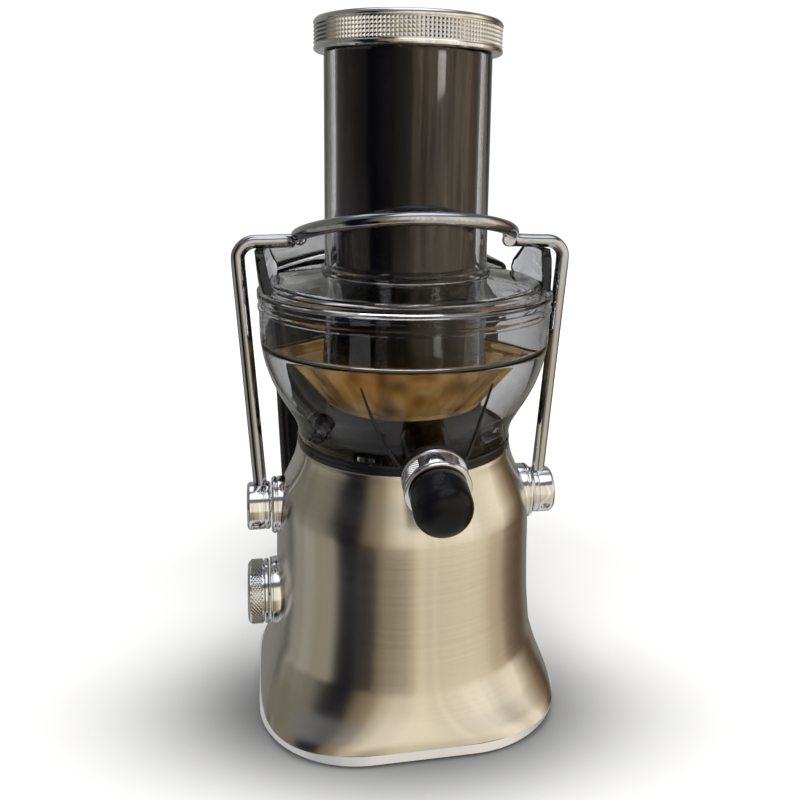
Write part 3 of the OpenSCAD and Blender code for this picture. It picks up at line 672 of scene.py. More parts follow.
bossp = fillet([(0, 71.35), (11.5, 71.35), (12.5, 72.4), (12.5, 74.0), (12.1, 74.35), (12.1, 74.75), (12.5, 75.1), (12.5, 82.3), (11.5, 83.6),
                (9.7, 83.6), (9.2, 82.9), (0, 82.9)], [0, 0.5, 0.5, 0.2, 0.1, 0.1, 0.2, 0.7, 0.6, 0.4, 0.3, 0], 3)
SETDIR = Vector((0, -math.cos(math.radians(28)), -math.sin(math.radians(28))))
for s, side in ((1, "right"), (-1, "left")):
    def to_set(x, y, z, s=s):
        b = SETDIR.cross(Vector((1, 0, 0)))
        p = Vector((s * 78.6, 0, 103.5)) + SETDIR * z + Vector((1, 0, 0)) * x + b * y
        return tuple(p)
    hole = moved(revolve([(0, 9.6), (2.6, 9.6), (2.6, 14), (0, 14)], 40), to_set)
    piece("bail_boss_" + side, moved(revolve(bossp, 112), to_x(s, 0, 0, 103.5)), CHROME, "bail",
          ("boss_" + side,), [("DIFFERENCE", hole)])
    # set screw with a hexagon socket
    hexa = moved(revolve([(0, 9.9), (1.25, 9.9), (1.25, 14), (0, 14)], 6), to_set)
    piece("set_screw_" + side, moved(revolve(fillet([(0, 9.0), (2.5, 9.0), (2.5, 11.4), (0, 11.4)], 0.25, 2), 40), to_set),
          BY_SLOT["bearing_steel"], "bail", (), [("DIFFERENCE", hexa)])


# ------------------------------------------------------------------ bail
def leg_x(z):
    return 76.5 + (z - 112) * 0.0735


SIDE = [(leg_x(z), 0, z) for z in (111, 125, 140, 158, 178, 196, 210, 224, 232)] \
    + [(76.6 + 9 * math.cos(math.radians(a - 2)), 0, 235.6 + 9 * math.sin(math.radians(a - 2))) for a in (14, 32, 50, 68, 86)] \
    + [(72.5, 0, 244.65), (68, 0, 244.75), (64, 0, 244.9), (60.4, -0.2, 245.05), (57.6, -1.1, 245.15), (55.4, -2.7, 245.35),
       (53.8, -4.9, 245.65), (53.0, -7.6, 246.0), (52.8, -10.5, 246.2)]
ARC = []
for i in range(49):
    a = -PI * i / 48
    e = max(0.0, math.sin(-a))
    ARC.append((55.5 * math.cos(a), 2 - 53.5 * e, 247.5 + 13.5 * e**1.15))


def weld(c, axis, r=2.9, w=1.5, n=28):
    """Rippled bead round a rod."""
    ax = Vector(axis).normalized()
    u = ax.cross(Vector((0.2, 0.3, 1))).normalized()
    v = ax.cross(u)
    rings = []
    for i in range(n):
        a = 2 * PI * i / n
        k = 1 + 0.13 * math.sin(i * 2.4)
        d = u * math.cos(a) + v * math.sin(a)
        rings.append([Vector(c) + d * (r + w * k * math.cos(2 * PI * j / 12)) + ax * (w * k * math.sin(2 * PI * j / 12)) for j in range(12)])
    return loft(rings)


for s, side in ((1, "right"), (-1, "left")):
    # on the left the rod ends under the bar, on the right it turns forward and shows its end
    pts = catmull([(s * p[0], p[1], p[2]) for p in (SIDE if s > 0 else SIDE[:-4])], 4)
    piece("bail_rod_" + side, tube(pts, 3.5, 28, chamfer=0.45), CHROME_DARK, "bail", ("bail_side_" + side,), sharp=40)
piece("bail_front_bar", tube(catmull(ARC, 3), 3.5, 28, chamfer=0.6), CHROME_DARK, "bail", ("bail_arc",), sharp=40)
for s, side in ((1, "right"), (-1, "left")):
    piece("weld_bead_" + side, weld((s * 54.6, -3.4, 246.6), (s * 0.35, -0.9, 0.25), 2.4, 1.25), CHROME_DARK, "bail")

# ------------------------------------------------------------------ bowl
BO = [(143, 56.4), (147, 56.7), (152, 58.2), (158, 61.4), (166, 66.1), (175.5, 70.6), (185, 73.6), (193.9, 75.3)]


def bowl_r(z):
    return pchip(BO, z)


def bowl():
    o = [(bowl_r(z), z) for z in [143.0 + 50.2 * i / 44 for i in range(45)]]
    top = [(75.15, 193.6), (74.8, 193.88), (73.2, 193.88), (72.75, 193.5)]
    inner = []
    for i in range(40):
        z = 192.6 - (192.6 - 149.0) * i / 39
        t = 2.6 + 0.6 * max(0.0, min(1.0, (163 - z) / 12))
        inner.append((bowl_r(z) - t, z))
    bot = [(53.6, 147.2), (53.0, 146.3), (52.0, 145.75), (50.5, 145.6), (21.0, 145.6), (20.2, 145.9), (19.9, 146.6), (19.4, 148.6), (19.0, 149.0),
           (17.4, 149.0), (17.0, 148.6), (17.0, 143.0)]
    part = revolve([(17.3, 143.0)] + o[0:0] + [(56.0, 143.0)] + o[1:] + top + inner + bot[:-1], 160)
    cyl = tilted(moved(revolve([(0, 45), (8, 45), (8, 80), (0, 80)], 64), to_front(148.2)))
    seal = [(73.5, 194.2), (73.8, 194.05), (74.6, 194.05), (74.9, 194.3), (74.9, 194.9), (74.6, 195.15), (73.8, 195.15), (73.5, 194.95)]
    piece("bowl_seal", revolve(seal, 144), SEAL, "base", ("bowl_gasket",))
    piece("smoked_bowl", part, SMOKE, "base", ("juice_bowl",), [("DIFFERENCE", cyl)], 40)


bowl()

ringp = fillet([(40, 135), (55.1, 135), (55.1, 138.3), (56.8, 138.3), (56.8, 140.0), (56.35, 140.35), (56.35, 140.75), (56.8, 141.1), (56.8, 142.0), (56.4, 142.95), (40, 142.95)],
               [0.3, 0.3, 0.1, 0.4, 0.25, 0.1, 0.1, 0.25, 0.3, 0.4, 0.3], 3)
piece("neck_band", revolve(ringp, 144), GLOSS, "base", ("bowl_base_ring",))


def spout():
    n = 96
    c, k = math.cos(TILT), math.sin(TILT)
    rings = []
    for r in (11.5, 9.0):
        end = tilted(([(r * math.cos(2 * PI * j / n), -97, 149 + r * math.sin(2 * PI * j / n)) for j in range(n)], []))[0]
        st = []
        for x, y, z in end:
            # back along the axis to the bowl's wall
            a, b = 0.0, 60.0
            for _ in range(40):
                m = (a + b) / 2
                R = 57.15 if z + k * m < 143.2 else bowl_r(z + k * m) + 0.05
                a, b = (m, b) if math.hypot(x, y + c * m) > R and y + c * m < 0 else (a, m)
            st.append((x, y + c * a, z + k * a))
        mid = lambda t: [tuple(p[q] + (e[q] - p[q]) * t for q in range(3)) for p, e in zip(st, end)]
        seq = [st, mid(0.25), mid(0.5), mid(0.75), mid(0.985)]
        rings += seq + [end] if r > 10 else [end] + seq[::-1]
    piece("spout_pipe", loft(rings), SMOKE_DEEP, "base", ("spout_tube",), sharp=50)
    col = fillet([(11.6, 80.8), (13.1, 81.4), (13.6, 82.8), (13.6, 83.9), (13.1, 84.2), (13.1, 84.6), (13.6, 84.9), (13.6, 86.55), (11.6, 86.55)],
                 [0.2, 0.4, 0.4, 0.2, 0.1, 0.1, 0.2, 0.3, 0.2], 3)
    piece("spout_sleeve", tilted(moved(revolve(col, 96), to_front(149))), GLOSS, "base", ("spout_collar",))
    fins = []
    for s in (1, -1):
        path, rad = [], []
        for i in range(43):
            t = i / 42
            path.append((s * (12.8 + 17.8 * (1 - t)**0.9), -67.7 - 17 * t**1.75, 153.3 + 32.9 * (1 - t)**1.46))
            rad.append(0.4 + 0.8 * math.sin(PI * min(1.0, 0.10 + 0.75 * t)))
        fins.append(tube(path, rad, 16, flat=0.7, chamfer=0.3))
    piece("spout_ribs", join(*fins), GLOSS, "base", ("spout_fins",), sharp=60)


spout()


def spout_ring():
    """Polished ring with a knurled patch on each side."""
    cols, R = 168, 15.0
    rows = 8
    V, F = [], []
    z0, z1 = 89.6, 95.6
    for i in range(rows + 1):
        for j in range(cols):
            a = 2 * PI * j / cols
            side = abs(math.cos(a)) > math.cos(math.radians(52))
            q = 14.75
            if side and 0 < i < rows:
                q = R if (i + j) % 2 else R - 0.55
            V.append((q * math.cos(a), q * math.sin(a), z0 + (z1 - z0) * i / rows))
    for i in range(rows):
        for j in range(cols):
            a, b = i * cols + j, i * cols + (j + 1) % cols
            c, d = a + cols, b + cols
            if (i + j) % 2:
                F += [(a, b, c), (b, d, c)]
            else:
                F += [(a, b, d), (a, d, c)]
    upper = [(14.75, 95.9), (14.4, 96.05), (14.4, 96.4), (14.9, 96.6), (15.0, 97.0), (15.0, 97.4), (14.7, 97.9), (14.1, 98.15), (13.3, 98.15), (11.75, 98.15), (11.55, 97.95)]
    lower = [(11.55, 87.2), (11.75, 87.02), (13.9, 87.02), (14.6, 87.2), (14.95, 87.7), (14.95, 88.4), (14.8, 88.8), (14.4, 88.95), (14.4, 89.3), (14.7, 89.45)]
    part = tilted(moved(knurled((V, F), lower, upper, cols), to_front(149)))
    piece("spout_grip_ring", part, CHROME, "nozzle", ("spout_ring",), sharp=24)


spout_ring()


def nozzle():
    o = [(9.5, 98.25), (12.3, 98.25), (12.8, 98.5), (13.0, 99.0), (13.0, 103), (12.98, 106)]
    o += [(4 + 9 * math.cos(math.radians(a)), 109 + 9 * math.sin(math.radians(a))) for a in range(0, 90, 6)]
    o += [(2, 118), (0, 118)]
    inner = [(0, 113.5), (7.5, 113.5), (8.9, 112.9), (9.5, 111.7)]
    cyl = tilted(moved(revolve([(0, -26), (6.5, -26), (6.5, 0), (0, 0)], 64), lambda x, y, z: (x, -108 + y, 149 + z)))
    piece("spout_cap", tilted(moved(revolve(o + inner, 112), to_front(149))), SATIN, "nozzle", ("spout_nozzle",),
          [("DIFFERENCE", cyl)], 38)


nozzle()

# ------------------------------------------------------------------ lid, hood, ears, chute
LID_OUT = [(75.4, 195.45), (75.7, 210.4), (76.4, 211.2), (76.4, 212.7), (75.8, 213.4), (75.8, 215.8), (76.6, 216.5), (76.6, 220.3), (76.0, 221),
           (71.6, 221), (70.7, 221.5), (69.6, 224.4), (68.4, 225.1), (43.9, 229.0)]
LID_IN = [(42.06, 229.0), (42.06, 226.3), (66.4, 222.4), (67.9, 221.4), (68.8, 219.0), (69.6, 218.45), (73.2, 218.4), (72.85, 195.45)]


def lid():
    p = fillet(LID_OUT + LID_IN, [0.3, 0.3, 0.3, 0.4, 0.2, 0.3, 0.4, 0.6, 0.5, 0.3, 0.3, 0.4, 0.6, 0.2, 0.1, 0.2, 0.5, 0.5, 0.4, 0.3, 0.8, 0.4], 3)
    box = rr_loop(46, 20, 3, 0, 6)
    # rear window: rounded rectangle in x and z, cut through the back wall
    ring = [(x, 0, 206.5 + y * 9.5 / 20) for x, y, _ in box]
    cut = loft([[(x, 50, z) for x, _, z in ring], [(x, 90, z) for x, _, z in ring]], closed=False, cap_a=True, cap_b=True)
    piece("smoked_lid", revolve(p, 160), SMOKE, "base", ("lid", "lid_crown"), [("DIFFERENCE", cut)], 30)


lid()


def hood_z(x, zs, zt, hx):
    return zs + (zt - zs) * (1 - min(1.0, (x / hx)**2))


def hood_shell(hx, y0, y1, r, zb, zs, zt, R, rf):
    """Rings from the bottom edge up the wall, round the edge and to the middle of the top."""
    def plan(d, n=14):
        # corners: rear left/right radius r, front left/right radius rf
        a, b, c, e = hx - d, y1 - d, y0 + d, 0
        pts = []
        for cx, cy, rad, a0 in ((a, b, r, 0), (-a, b, r, 90), (-a, c, rf, 180), (a, c, rf, 270)):
            rad = max(rad - d, 0.4)
            sx, sy = (1 if cx > 0 else -1), (1 if cy == b else -1)
            for j in range(n + 1):
                t = math.radians(a0 + 90 * j / n)
                pts.append((cx - sx * rad + rad * math.cos(t), cy - sy * rad + rad * math.sin(t)))
        # extra points on the straight sides
        out2 = []
        k = len(pts)
        for i in range(k):
            p, q = pts[i], pts[(i + 1) % k]
            out2.append(p)
            if (i + 1) % (n + 1) == 0:
                for m in range(1, 16):
                    out2.append((p[0] + (q[0] - p[0]) * m / 16, p[1] + (q[1] - p[1]) * m / 16))
        return out2

    rings = []
    base = plan(0)
    for t in (0, 0.34, 0.67, 1):
        rings.append([(x, y, zb + (hood_z(x, zs, zt, hx) - R - zb) * t) for x, y in base])
    for k in range(1, 6):
        a = PI / 2 * k / 5
        d = R * (1 - math.cos(a))
        rings.append([(x, y, hood_z(x, zs, zt, hx) - R * (1 - math.sin(a))) for x, y in plan(d)])
    last = plan(R)
    cy = (y0 + y1) / 2
    for t in [1 - k / 14 for k in range(1, 14)]:
        rings.append([(x * t, cy + (y - cy) * t, hood_z(x * t, zs, zt, hx)) for x, y in last])
    return rings, (0.0, cy, zt)


def hood():
    oR, oC = hood_shell(71, 56, 174, 24, 213.9, 224, 237, 3.0, 3.0)
    iR, iC = hood_shell(68.6, 58.4, 171.6, 21.6, 213.9, 221.6, 234.6, 1.6, 1.6)
    k = len(oR[0])
    seq = oR[::-1] + iR
    V, F = loft(seq, closed=False)
    a, b = len(V), len(V) + 1
    V += [oC, iC]
    m = (len(seq) - 1) * k
    for j in range(k):
        F.append((a, (j + 1) % k, j))
        F.append((b, m + j, m + (j + 1) % k))
    cut = revolve([(0, 190), (76.7, 190), (76.7, 220.4), (76.1, 221.05), (71.6, 221.05), (70.7, 221.55), (69.6, 224.45), (68.4, 225.15), (43.9, 229.05), (0, 229.05)], 160)
    piece("smoked_hood", (V, F), SMOKE, "base", ("pulp_hood",), [("DIFFERENCE", cut)], 35)


hood()


def ears():
    out_yz = fillet([(-21, 221.04), (27, 221.04), (30, 226), (29, 231), (21, 240.7), (-4, 240.7), (-10, 236), (-16, 228)],
                    [0.4, 1.0, 4, 5, 5, 4, 6, 8], 6)
    for s, side in ((1, "right"), (-1, "left")):
        rings = []
        secs = 7

        def at(y, z, d, s=s):
            t = (z - 221) / 19.7
            r = 71.2 + 1.7 * t + d * (4.4 + 0.1 * t)
            return (s * math.sqrt(max(r * r - y * y, 1)), y, z)
        # section across the thickness: small rounding on both faces
        for ins, d in ((0.5, 0.0), (0.14, 0.04), (0.0, 0.12), (0.0, 0.5), (0.0, 0.88), (0.14, 0.96), (0.5, 1.0)):
            cy = sum(p[0] for p in out_yz) / len(out_yz)
            cz = sum(p[1] for p in out_yz) / len(out_yz)
            ring = []
            for y, z in out_yz:
                l = math.hypot(y - cy, z - cz)
                y2, z2 = y + (cy - y) * ins / l, z + (cz - z) * ins / l
                ring.append(at(y2, z2, d))
            rings.append(ring)
        k = len(out_yz)
        V, F = loft(rings, closed=False)
        # the faces are filled by shrinking the outline, so they follow the curve
        for base, d, flip in ((0, 0.0, True), ((secs - 1) * k, 1.0, False)):
            prev = list(range(base, base + k))
            cy = sum(p[0] for p in out_yz) / k
            cz = sum(p[1] for p in out_yz) / k
            for q in (0.75, 0.5, 0.25):
                o = len(V)
                for y, z in out_yz:
                    l = math.hypot(y - cy, z - cz)
                    g = (l - 0.5) / l * q
                    V.append(at(cy + (y - cy) * g, cz + (z - cz) * g, d))
                cur = list(range(o, o + k))
                for j in range(k):
                    j2 = (j + 1) % k
                    F.append((prev[j], prev[j2], cur[j2], cur[j]))
                prev = cur
            V.append(at(cy, cz, d))
            for j in range(k):
                F.append((prev[j], prev[(j + 1) % k], len(V) - 1))
        EARS.append((V, F))


EARS = []
ears()
piece("lid_lugs", join(*EARS), SMOKE_THICK, "base", ("lid_ears",), sharp=40)

chute = fillet([(39, 176), (40.4, 176.2), (42, 177.8), (42, 229.1), (43.8, 229.35), (44.2, 230.4), (43.6, 231.6), (42, 232.5), (42, 337.9), (39, 337.9)],
               [0.4, 0.5, 0.8, 0.1, 0.4, 0.5, 0.4, 0.6, 0.9, 0.6], 4)
piece("feed_tube", revolve(chute, 160), SMOKE_TUBE, "base", ("feed_chute",), sharp=35)

# ------------------------------------------------------------------ filter basket
RIBS = 24


def basket():
    cone = [(41.4 + (64.4 - 41.4) * t, 163 + (190.6 - 163) * t) for t in (0, 0.04, 0.1, 0.25, 0.4, 0.55, 0.7, 0.85, 0.94, 1)]
    o = [(38.45, 161.05), (40.5, 161.05), (41.0, 161.4), (41.25, 162.3)] + cone + \
        [(66.6, 191.2), (67.2, 191.7), (67.55, 192.5), (67.55, 193.6), (67.2, 194.6), (66.5, 195.0), (64.3, 195.0), (63.5, 194.6), (62.9, 193.2), (61.95, 191.2)]
    inner = [(39.7 + (61.7 - 39.7) * t, 164.6 + (190.8 - 164.6) * t) for t in (0.95, 0.8, 0.6, 0.4, 0.2, 0.02)] + [(38.9, 164.2), (38.45, 164.1)]

    def rib(i, r, z, a):
        if not (4 <= i <= 13):
            return r
        t = (z - 163) / 27.6
        env = min(1.0, t / 0.06) * min(1.0, (1 - t) / 0.06 + 0.15)
        ph = (a * RIBS / (2 * PI)) % 1.0
        k = max(0.0, 1 - abs(ph - 0.5) / 0.28)
        return r + env * (1.4 * min(1.0, 1.3 * k))

    piece("amber_basket", revolve(o + inner, RIBS * 12, rib), AMBER, "spindle", ("filter_basket",), sharp=28)
    hub = fillet([(0, 150), (13, 150), (13, 146.6), (16, 146.6), (16, 151), (20, 157), (37.4, 157), (37.4, 147.4), (40, 147.4), (41.2, 148.6), (41.6, 150.5), (41.6, 154.6),
                  (41.0, 155.0), (41.0, 155.6), (41.6, 156.0), (41.6, 160.4), (41.0, 160.95), (0, 160.95)],
                 [0, 0.3, 0.4, 0.4, 0.3, 0.8, 0.8, 0.4, 0.5, 0.5, 0.5, 0.2, 0.1, 0.1, 0.2, 0.3, 0.3, 0], 3)
    piece("basket_foot", revolve(hub, 144), GLOSS, "spindle", ("basket_hub",))
    # raised cutting teeth of the grater disc
    teeth = []
    for rr, cnt in ((13, 12), (18, 18), (23, 24), (28, 30), (33, 36)):
        for i in range(cnt):
            a = 2 * PI * (i + (rr % 2) * 0.5) / cnt
            d, t = Vector((math.cos(a), math.sin(a), 0)), Vector((-math.sin(a), math.cos(a), 0))
            c = d * rr + Vector((0, 0, 162.15))
            teeth.append(([tuple(c + d * 0.9 - t * 0.9), tuple(c - d * 0.9 - t * 0.9), tuple(c + t * 1.1), tuple(c - t * 0.7 + Vector((0, 0, 1.3)))],
                          [(0, 1, 2), (0, 3, 1), (1, 3, 2), (2, 3, 0)]))
    piece("grater_teeth", join(*teeth), GRATER, "spindle", sharp=20)


basket()

# ------------------------------------------------------------------ pusher
def pusher():
    body = fillet([(0, 186), (34.8, 186), (36.4, 188), (36.4, 349), (33.8, 349), (33.8, 189.6), (0, 189.6)], [0, 1.2, 1.2, 0.2, 0.2, 1.5, 0], 4)
    key = loft([[(-2.4, 35, z), (2.4, 35, z), (2.4, 37.7, z), (1.7, 38.4, z), (-1.7, 38.4, z), (-2.4, 37.7, z)] for z in (189, 334)],
               closed=False, cap_a=True, cap_b=True)
    piece("pusher_tube", revolve(body, 144), PUSHER, "pusher", ("pusher_body",), [("UNION", key)], 35)
    cap = fillet([(0, 344), (6, 344.2), (26, 347), (32.6, 348.95), (43.3, 348.95), (43.3, 352), (41, 352.4), (33, 351.6), (20, 348.4), (0, 347)],
                 [0, 2, 4, 1, 0.2, 0.6, 1, 4, 6, 0], 4)
    piece("pusher_top", revolve(cap, 144), GLOSS, "pusher", ("pusher_cap",))
    # knurled ring: five rows of small pyramids between polished lips
    cols, rows, R, dep = 296, 10, 47.0, 0.85
    z0, z1 = 341.2, 350.6
    V, F = [], []
    for i in range(rows + 1):
        for j in range(cols):
            a = 2 * PI * j / cols
            q = R if (i % 2 and j % 2) else R - dep
            V.append((q * math.cos(a), q * math.sin(a), z0 + (z1 - z0) * i / rows))
    for i in range(rows):
        for j in range(cols):
            a, b = i * cols + j, i * cols + (j + 1) % cols
            c, d = a + cols, b + cols
            if (i + j) % 2:       # the corner opposite the peak is (i, j+1) or (i+1, j)
                F += [(a, b, c), (b, d, c)]
            else:
                F += [(a, b, d), (a, d, c)]
    upper = [(46.2, 350.9), (46.75, 351.1), (47.0, 351.5), (46.95, 352.2), (46.5, 353.1), (45.7, 353.75), (45.0, 353.98), (44.2, 353.9), (43.7, 353.5), (43.45, 352.8),
             (43.4, 349.0), (36.45, 349.0)]
    lower = [(36.45, 340.05), (38.9, 340.05), (39.05, 339.9), (39.05, 338.15), (39.3, 338.0), (44.9, 338.0), (46.1, 338.15), (46.8, 338.7), (47.0, 339.5), (46.95, 340.3), (46.6, 340.8), (46.2, 341.0)]
    piece("pusher_grip_ring", knurled((V, F), lower, upper, cols), CHROME, "pusher", ("pusher_ring",), sharp=24)


pusher()


# ------------------------------------------------------------------ pulp container
def plan_loop(hx, y0, y1, r, rf, z, n=14):
    pts = []
    for sx, sy, cx, cy, rad, a0 in ((1, 1, hx, y1, r, 0), (-1, 1, -hx, y1, r, 90), (-1, -1, -hx, y0, rf, 180), (1, -1, hx, y0, rf, 270)):
        for j in range(n + 1):
            t = math.radians(a0 + 90 * j / n)
            pts.append((cx - sx * rad + rad * math.cos(t), cy - sy * rad + rad * math.sin(t), z))
    return pts


def cont_at(z, d):
    t = max(0.0, min(1.0, z / 170))
    return 61 + 7.5 * t - d, 92 + d, 170 + 3 * t - d, 20 + 2 * t - d


def container():
    R = 5.0
    rings = []
    for k in range(0, 6):
        a = PI / 2 * k / 5
        d, z = R * (1 - math.sin(a)), R * (1 - math.cos(a))
        hx, y0, y1, r = cont_at(z, d)
        rings.append(plan_loop(hx, y0, y1, max(r, 2), 5.0 + 0.2 * k, z))
    for z in (20, 50, 80, 110, 140, 158, 171):
        hx, y0, y1, r = cont_at(z, 0)
        rings.append(plan_loop(hx, y0, y1, r, 6.0, z))
    tub = loft(rings, closed=False, cap_a=True, cap_b=True)
    col = []
    for z, hx, y0, y1 in ((158.0, 68.0, 92, 172.6), (164, 68.3, 88.0, 172.8), (178, 68.95, 79.5, 173.1), (196, 69.7, 68.5, 173.6), (212.6, 70.45, 58.2, 174), (213, 70.1, 58.6, 173.6)):
        col.append(plan_loop(hx, y0, y1, 22, 2.0, z))
    collar = loft(col, closed=False, cap_a=True, cap_b=True)
    rim = []
    for d, z in fillet([(0, 206), (0, 213), (7, 213), (7, 206)], [1.4, 1.4, 0.2, 0.2], 4):
        rim.append(plan_loop(75 - d, 64 + d * 0.3, 178 - d, 26 - d, 2.0, z))
    rim_p = loft(rim)
    inn = []
    for z in (2.4, 4, 8, 20, 50, 80, 110, 140, 158, 171):
        hx, y0, y1, r = cont_at(z, 2.4 + (2.5 if z < 3 else 0.7 if z < 5 else 0))
        inn.append(plan_loop(hx, y0, y1, r, 4.0, z))
    for z, hx, y0, y1 in ((178, 68.95, 90, 173.1), (196, 69.7, 80, 173.6), (230, 70.5, 60.4, 174)):
        inn.append(plan_loop(hx - 2.4, y0, y1 - 2.4, 19.6, 2.0, z))
    inner = loft(inn, closed=False, cap_a=True, cap_b=True)
    cyl = revolve([(0, 130), (78.2, 130), (78.2, 240), (0, 240)], 160)
    notch = ([(-44, 50, 194), (44, 50, 194), (44, 95, 194), (-44, 95, 194), (-44, 50, 240), (44, 50, 240), (44, 95, 240), (-44, 95, 240)],
             [(3, 2, 1, 0), (4, 5, 6, 7), (0, 1, 5, 4), (1, 2, 6, 5), (2, 3, 7, 6), (3, 0, 4, 7)])
    piece("pulp_bin", tub, GLOSS, "container", ("pulp_container",),
          [("UNION", collar), ("DIFFERENCE", inner), ("UNION", rim_p), ("DIFFERENCE", cyl), ("DIFFERENCE", notch)], 32)


container()


# ------------------------------------------------------------------ floor
# painted shade: scale of the floor's painted shadow by distance from the middle, in metres
FLOOR_SHADE_GAIN = [(0.0, 0.86), (0.08, 0.86), (0.12, 0.9), (0.2, 0.8), (0.35, 0.8), (0.6, 1.0)]


def floor():
    n = 96
    rings = [[(r * math.cos(2 * PI * j / n), r * math.sin(2 * PI * j / n), 0.0) for j in range(n)] for r in (60, 200, 600, 2000, 9000)]
    V, F = loft(rings, closed=False, cap_a=True)
    me = bpy.data.meshes.new("floor")
    me.from_pydata([(p[0] * MM, p[1] * MM, -0.0002) for p in V], [], F)
    ob = bpy.data.objects.new("floor", me)
    SCENE.collection.objects.link(ob)
    m, nt = new_mat("floor_painted_shadow")
    tc = nd(nt, "TexCoord").outputs["Object"]
    n1 = noise(nt, (1, 1, 1), 300.0, 3, 0.6)
    # painted shadow: the floor's colour darkens in a soft ellipse round the base, in place of the shadow the juicer
    # casts
    ad = nd(nt, "VectorMath", {0: tc, 1: (0.0115, 0.0354, 0.0)}, operation="ADD")
    ro = nd(nt, "VectorRotate", {"Vector": ad, "Angle": 0.165}, rotation_type="Z_AXIS")
    sc = nd(nt, "VectorMath", {0: ro, 1: (1 / 0.1276, 1 / 0.0646, 0.0)}, operation="MULTIPLY")
    d = nd(nt, "VectorMath", {0: sc}, operation="LENGTH").outputs["Value"]
    pw = nd(nt, "Math", {0: d, 1: 2.44}, operation="POWER")
    ex = nd(nt, "Math", {0: 2.718282, 1: nd(nt, "Math", {0: pw, 1: -1.0}, operation="MULTIPLY")}, operation="POWER")
    painted_shadow = nd(nt, "Math", {0: 1.0, 1: ex}, operation="SUBTRACT").outputs[0]
    # painted light and shade: a ramp by distance from the middle scales the floor's colour, giving back near the body
    # some of the light it hides
    near = nd(nt, "VectorMath", {0: nd(nt, "VectorMath", {0: tc, 1: (1.0, 1.0, 0.0)}, operation="MULTIPLY")}, operation="LENGTH").outputs["Value"]
    gain = ramp(nt, near, [(r, grey(v)) for r, v in FLOOR_SHADE_GAIN])
    fac = nd(nt, "Math", {0: painted_shadow, 1: gain.outputs[0]}, operation="MULTIPLY", use_clamp=True)
    b = nd(nt, "BsdfPrincipled", {"Base Color": ramp(nt, fac.outputs[0], [(0.0, grey(0.0)), (1.0, grey(1.0))]),
                                  "Roughness": remap(nt, n1.outputs[0], 0.75, 0.9), "Specular IOR Level": 0.0})
    # a reflection that comes back through clear plastic sees the room's tones too
    seen = nd(nt, "Math", {0: nd(nt, "LightPath").outputs["Glossy Depth"], 1: 0.5}, operation="GREATER_THAN")
    out(nt, nd(nt, "MixShader", {0: seen, 1: b, 2: nd(nt, "BsdfTransparent")}))
    me.materials.append(m)
    for p in me.polygons:
        p.use_smooth = True
    ob.visible_glossy = False


floor()


# ------------------------------------------------------------------ light
def area(name, loc, target, size, power, col=(1, 1, 1), size_y=None, glossy=False):
    li = bpy.data.lights.new(name, "AREA")
    li.energy, li.color, li.size = power, col, size
    if size_y:
        li.shape, li.size_y = "RECTANGLE", size_y
    ob = bpy.data.objects.new(name, li)
    SCENE.collection.objects.link(ob)
    ob.location = loc
    ob.rotation_euler = (Vector(target) - Vector(loc)).to_track_quat("-Z", "Y").to_euler()
    ob.visible_glossy = glossy
    return ob


area("softbox_top", (-0.1, -0.1, 1.5), (0, 0, 0.15), 0.9, 9.0, (1, 0.99, 0.97))
area("softbox_left", (-1.1, -1.2, 0.9), (0, 0, 0.2), 0.5, 5.0, (0.97, 0.98, 1.0), 0.9)
area("softbox_right", (1.0, -1.1, 0.7), (0, 0, 0.15), 0.35, 4.0, (1.0, 0.95, 0.86), 0.8)


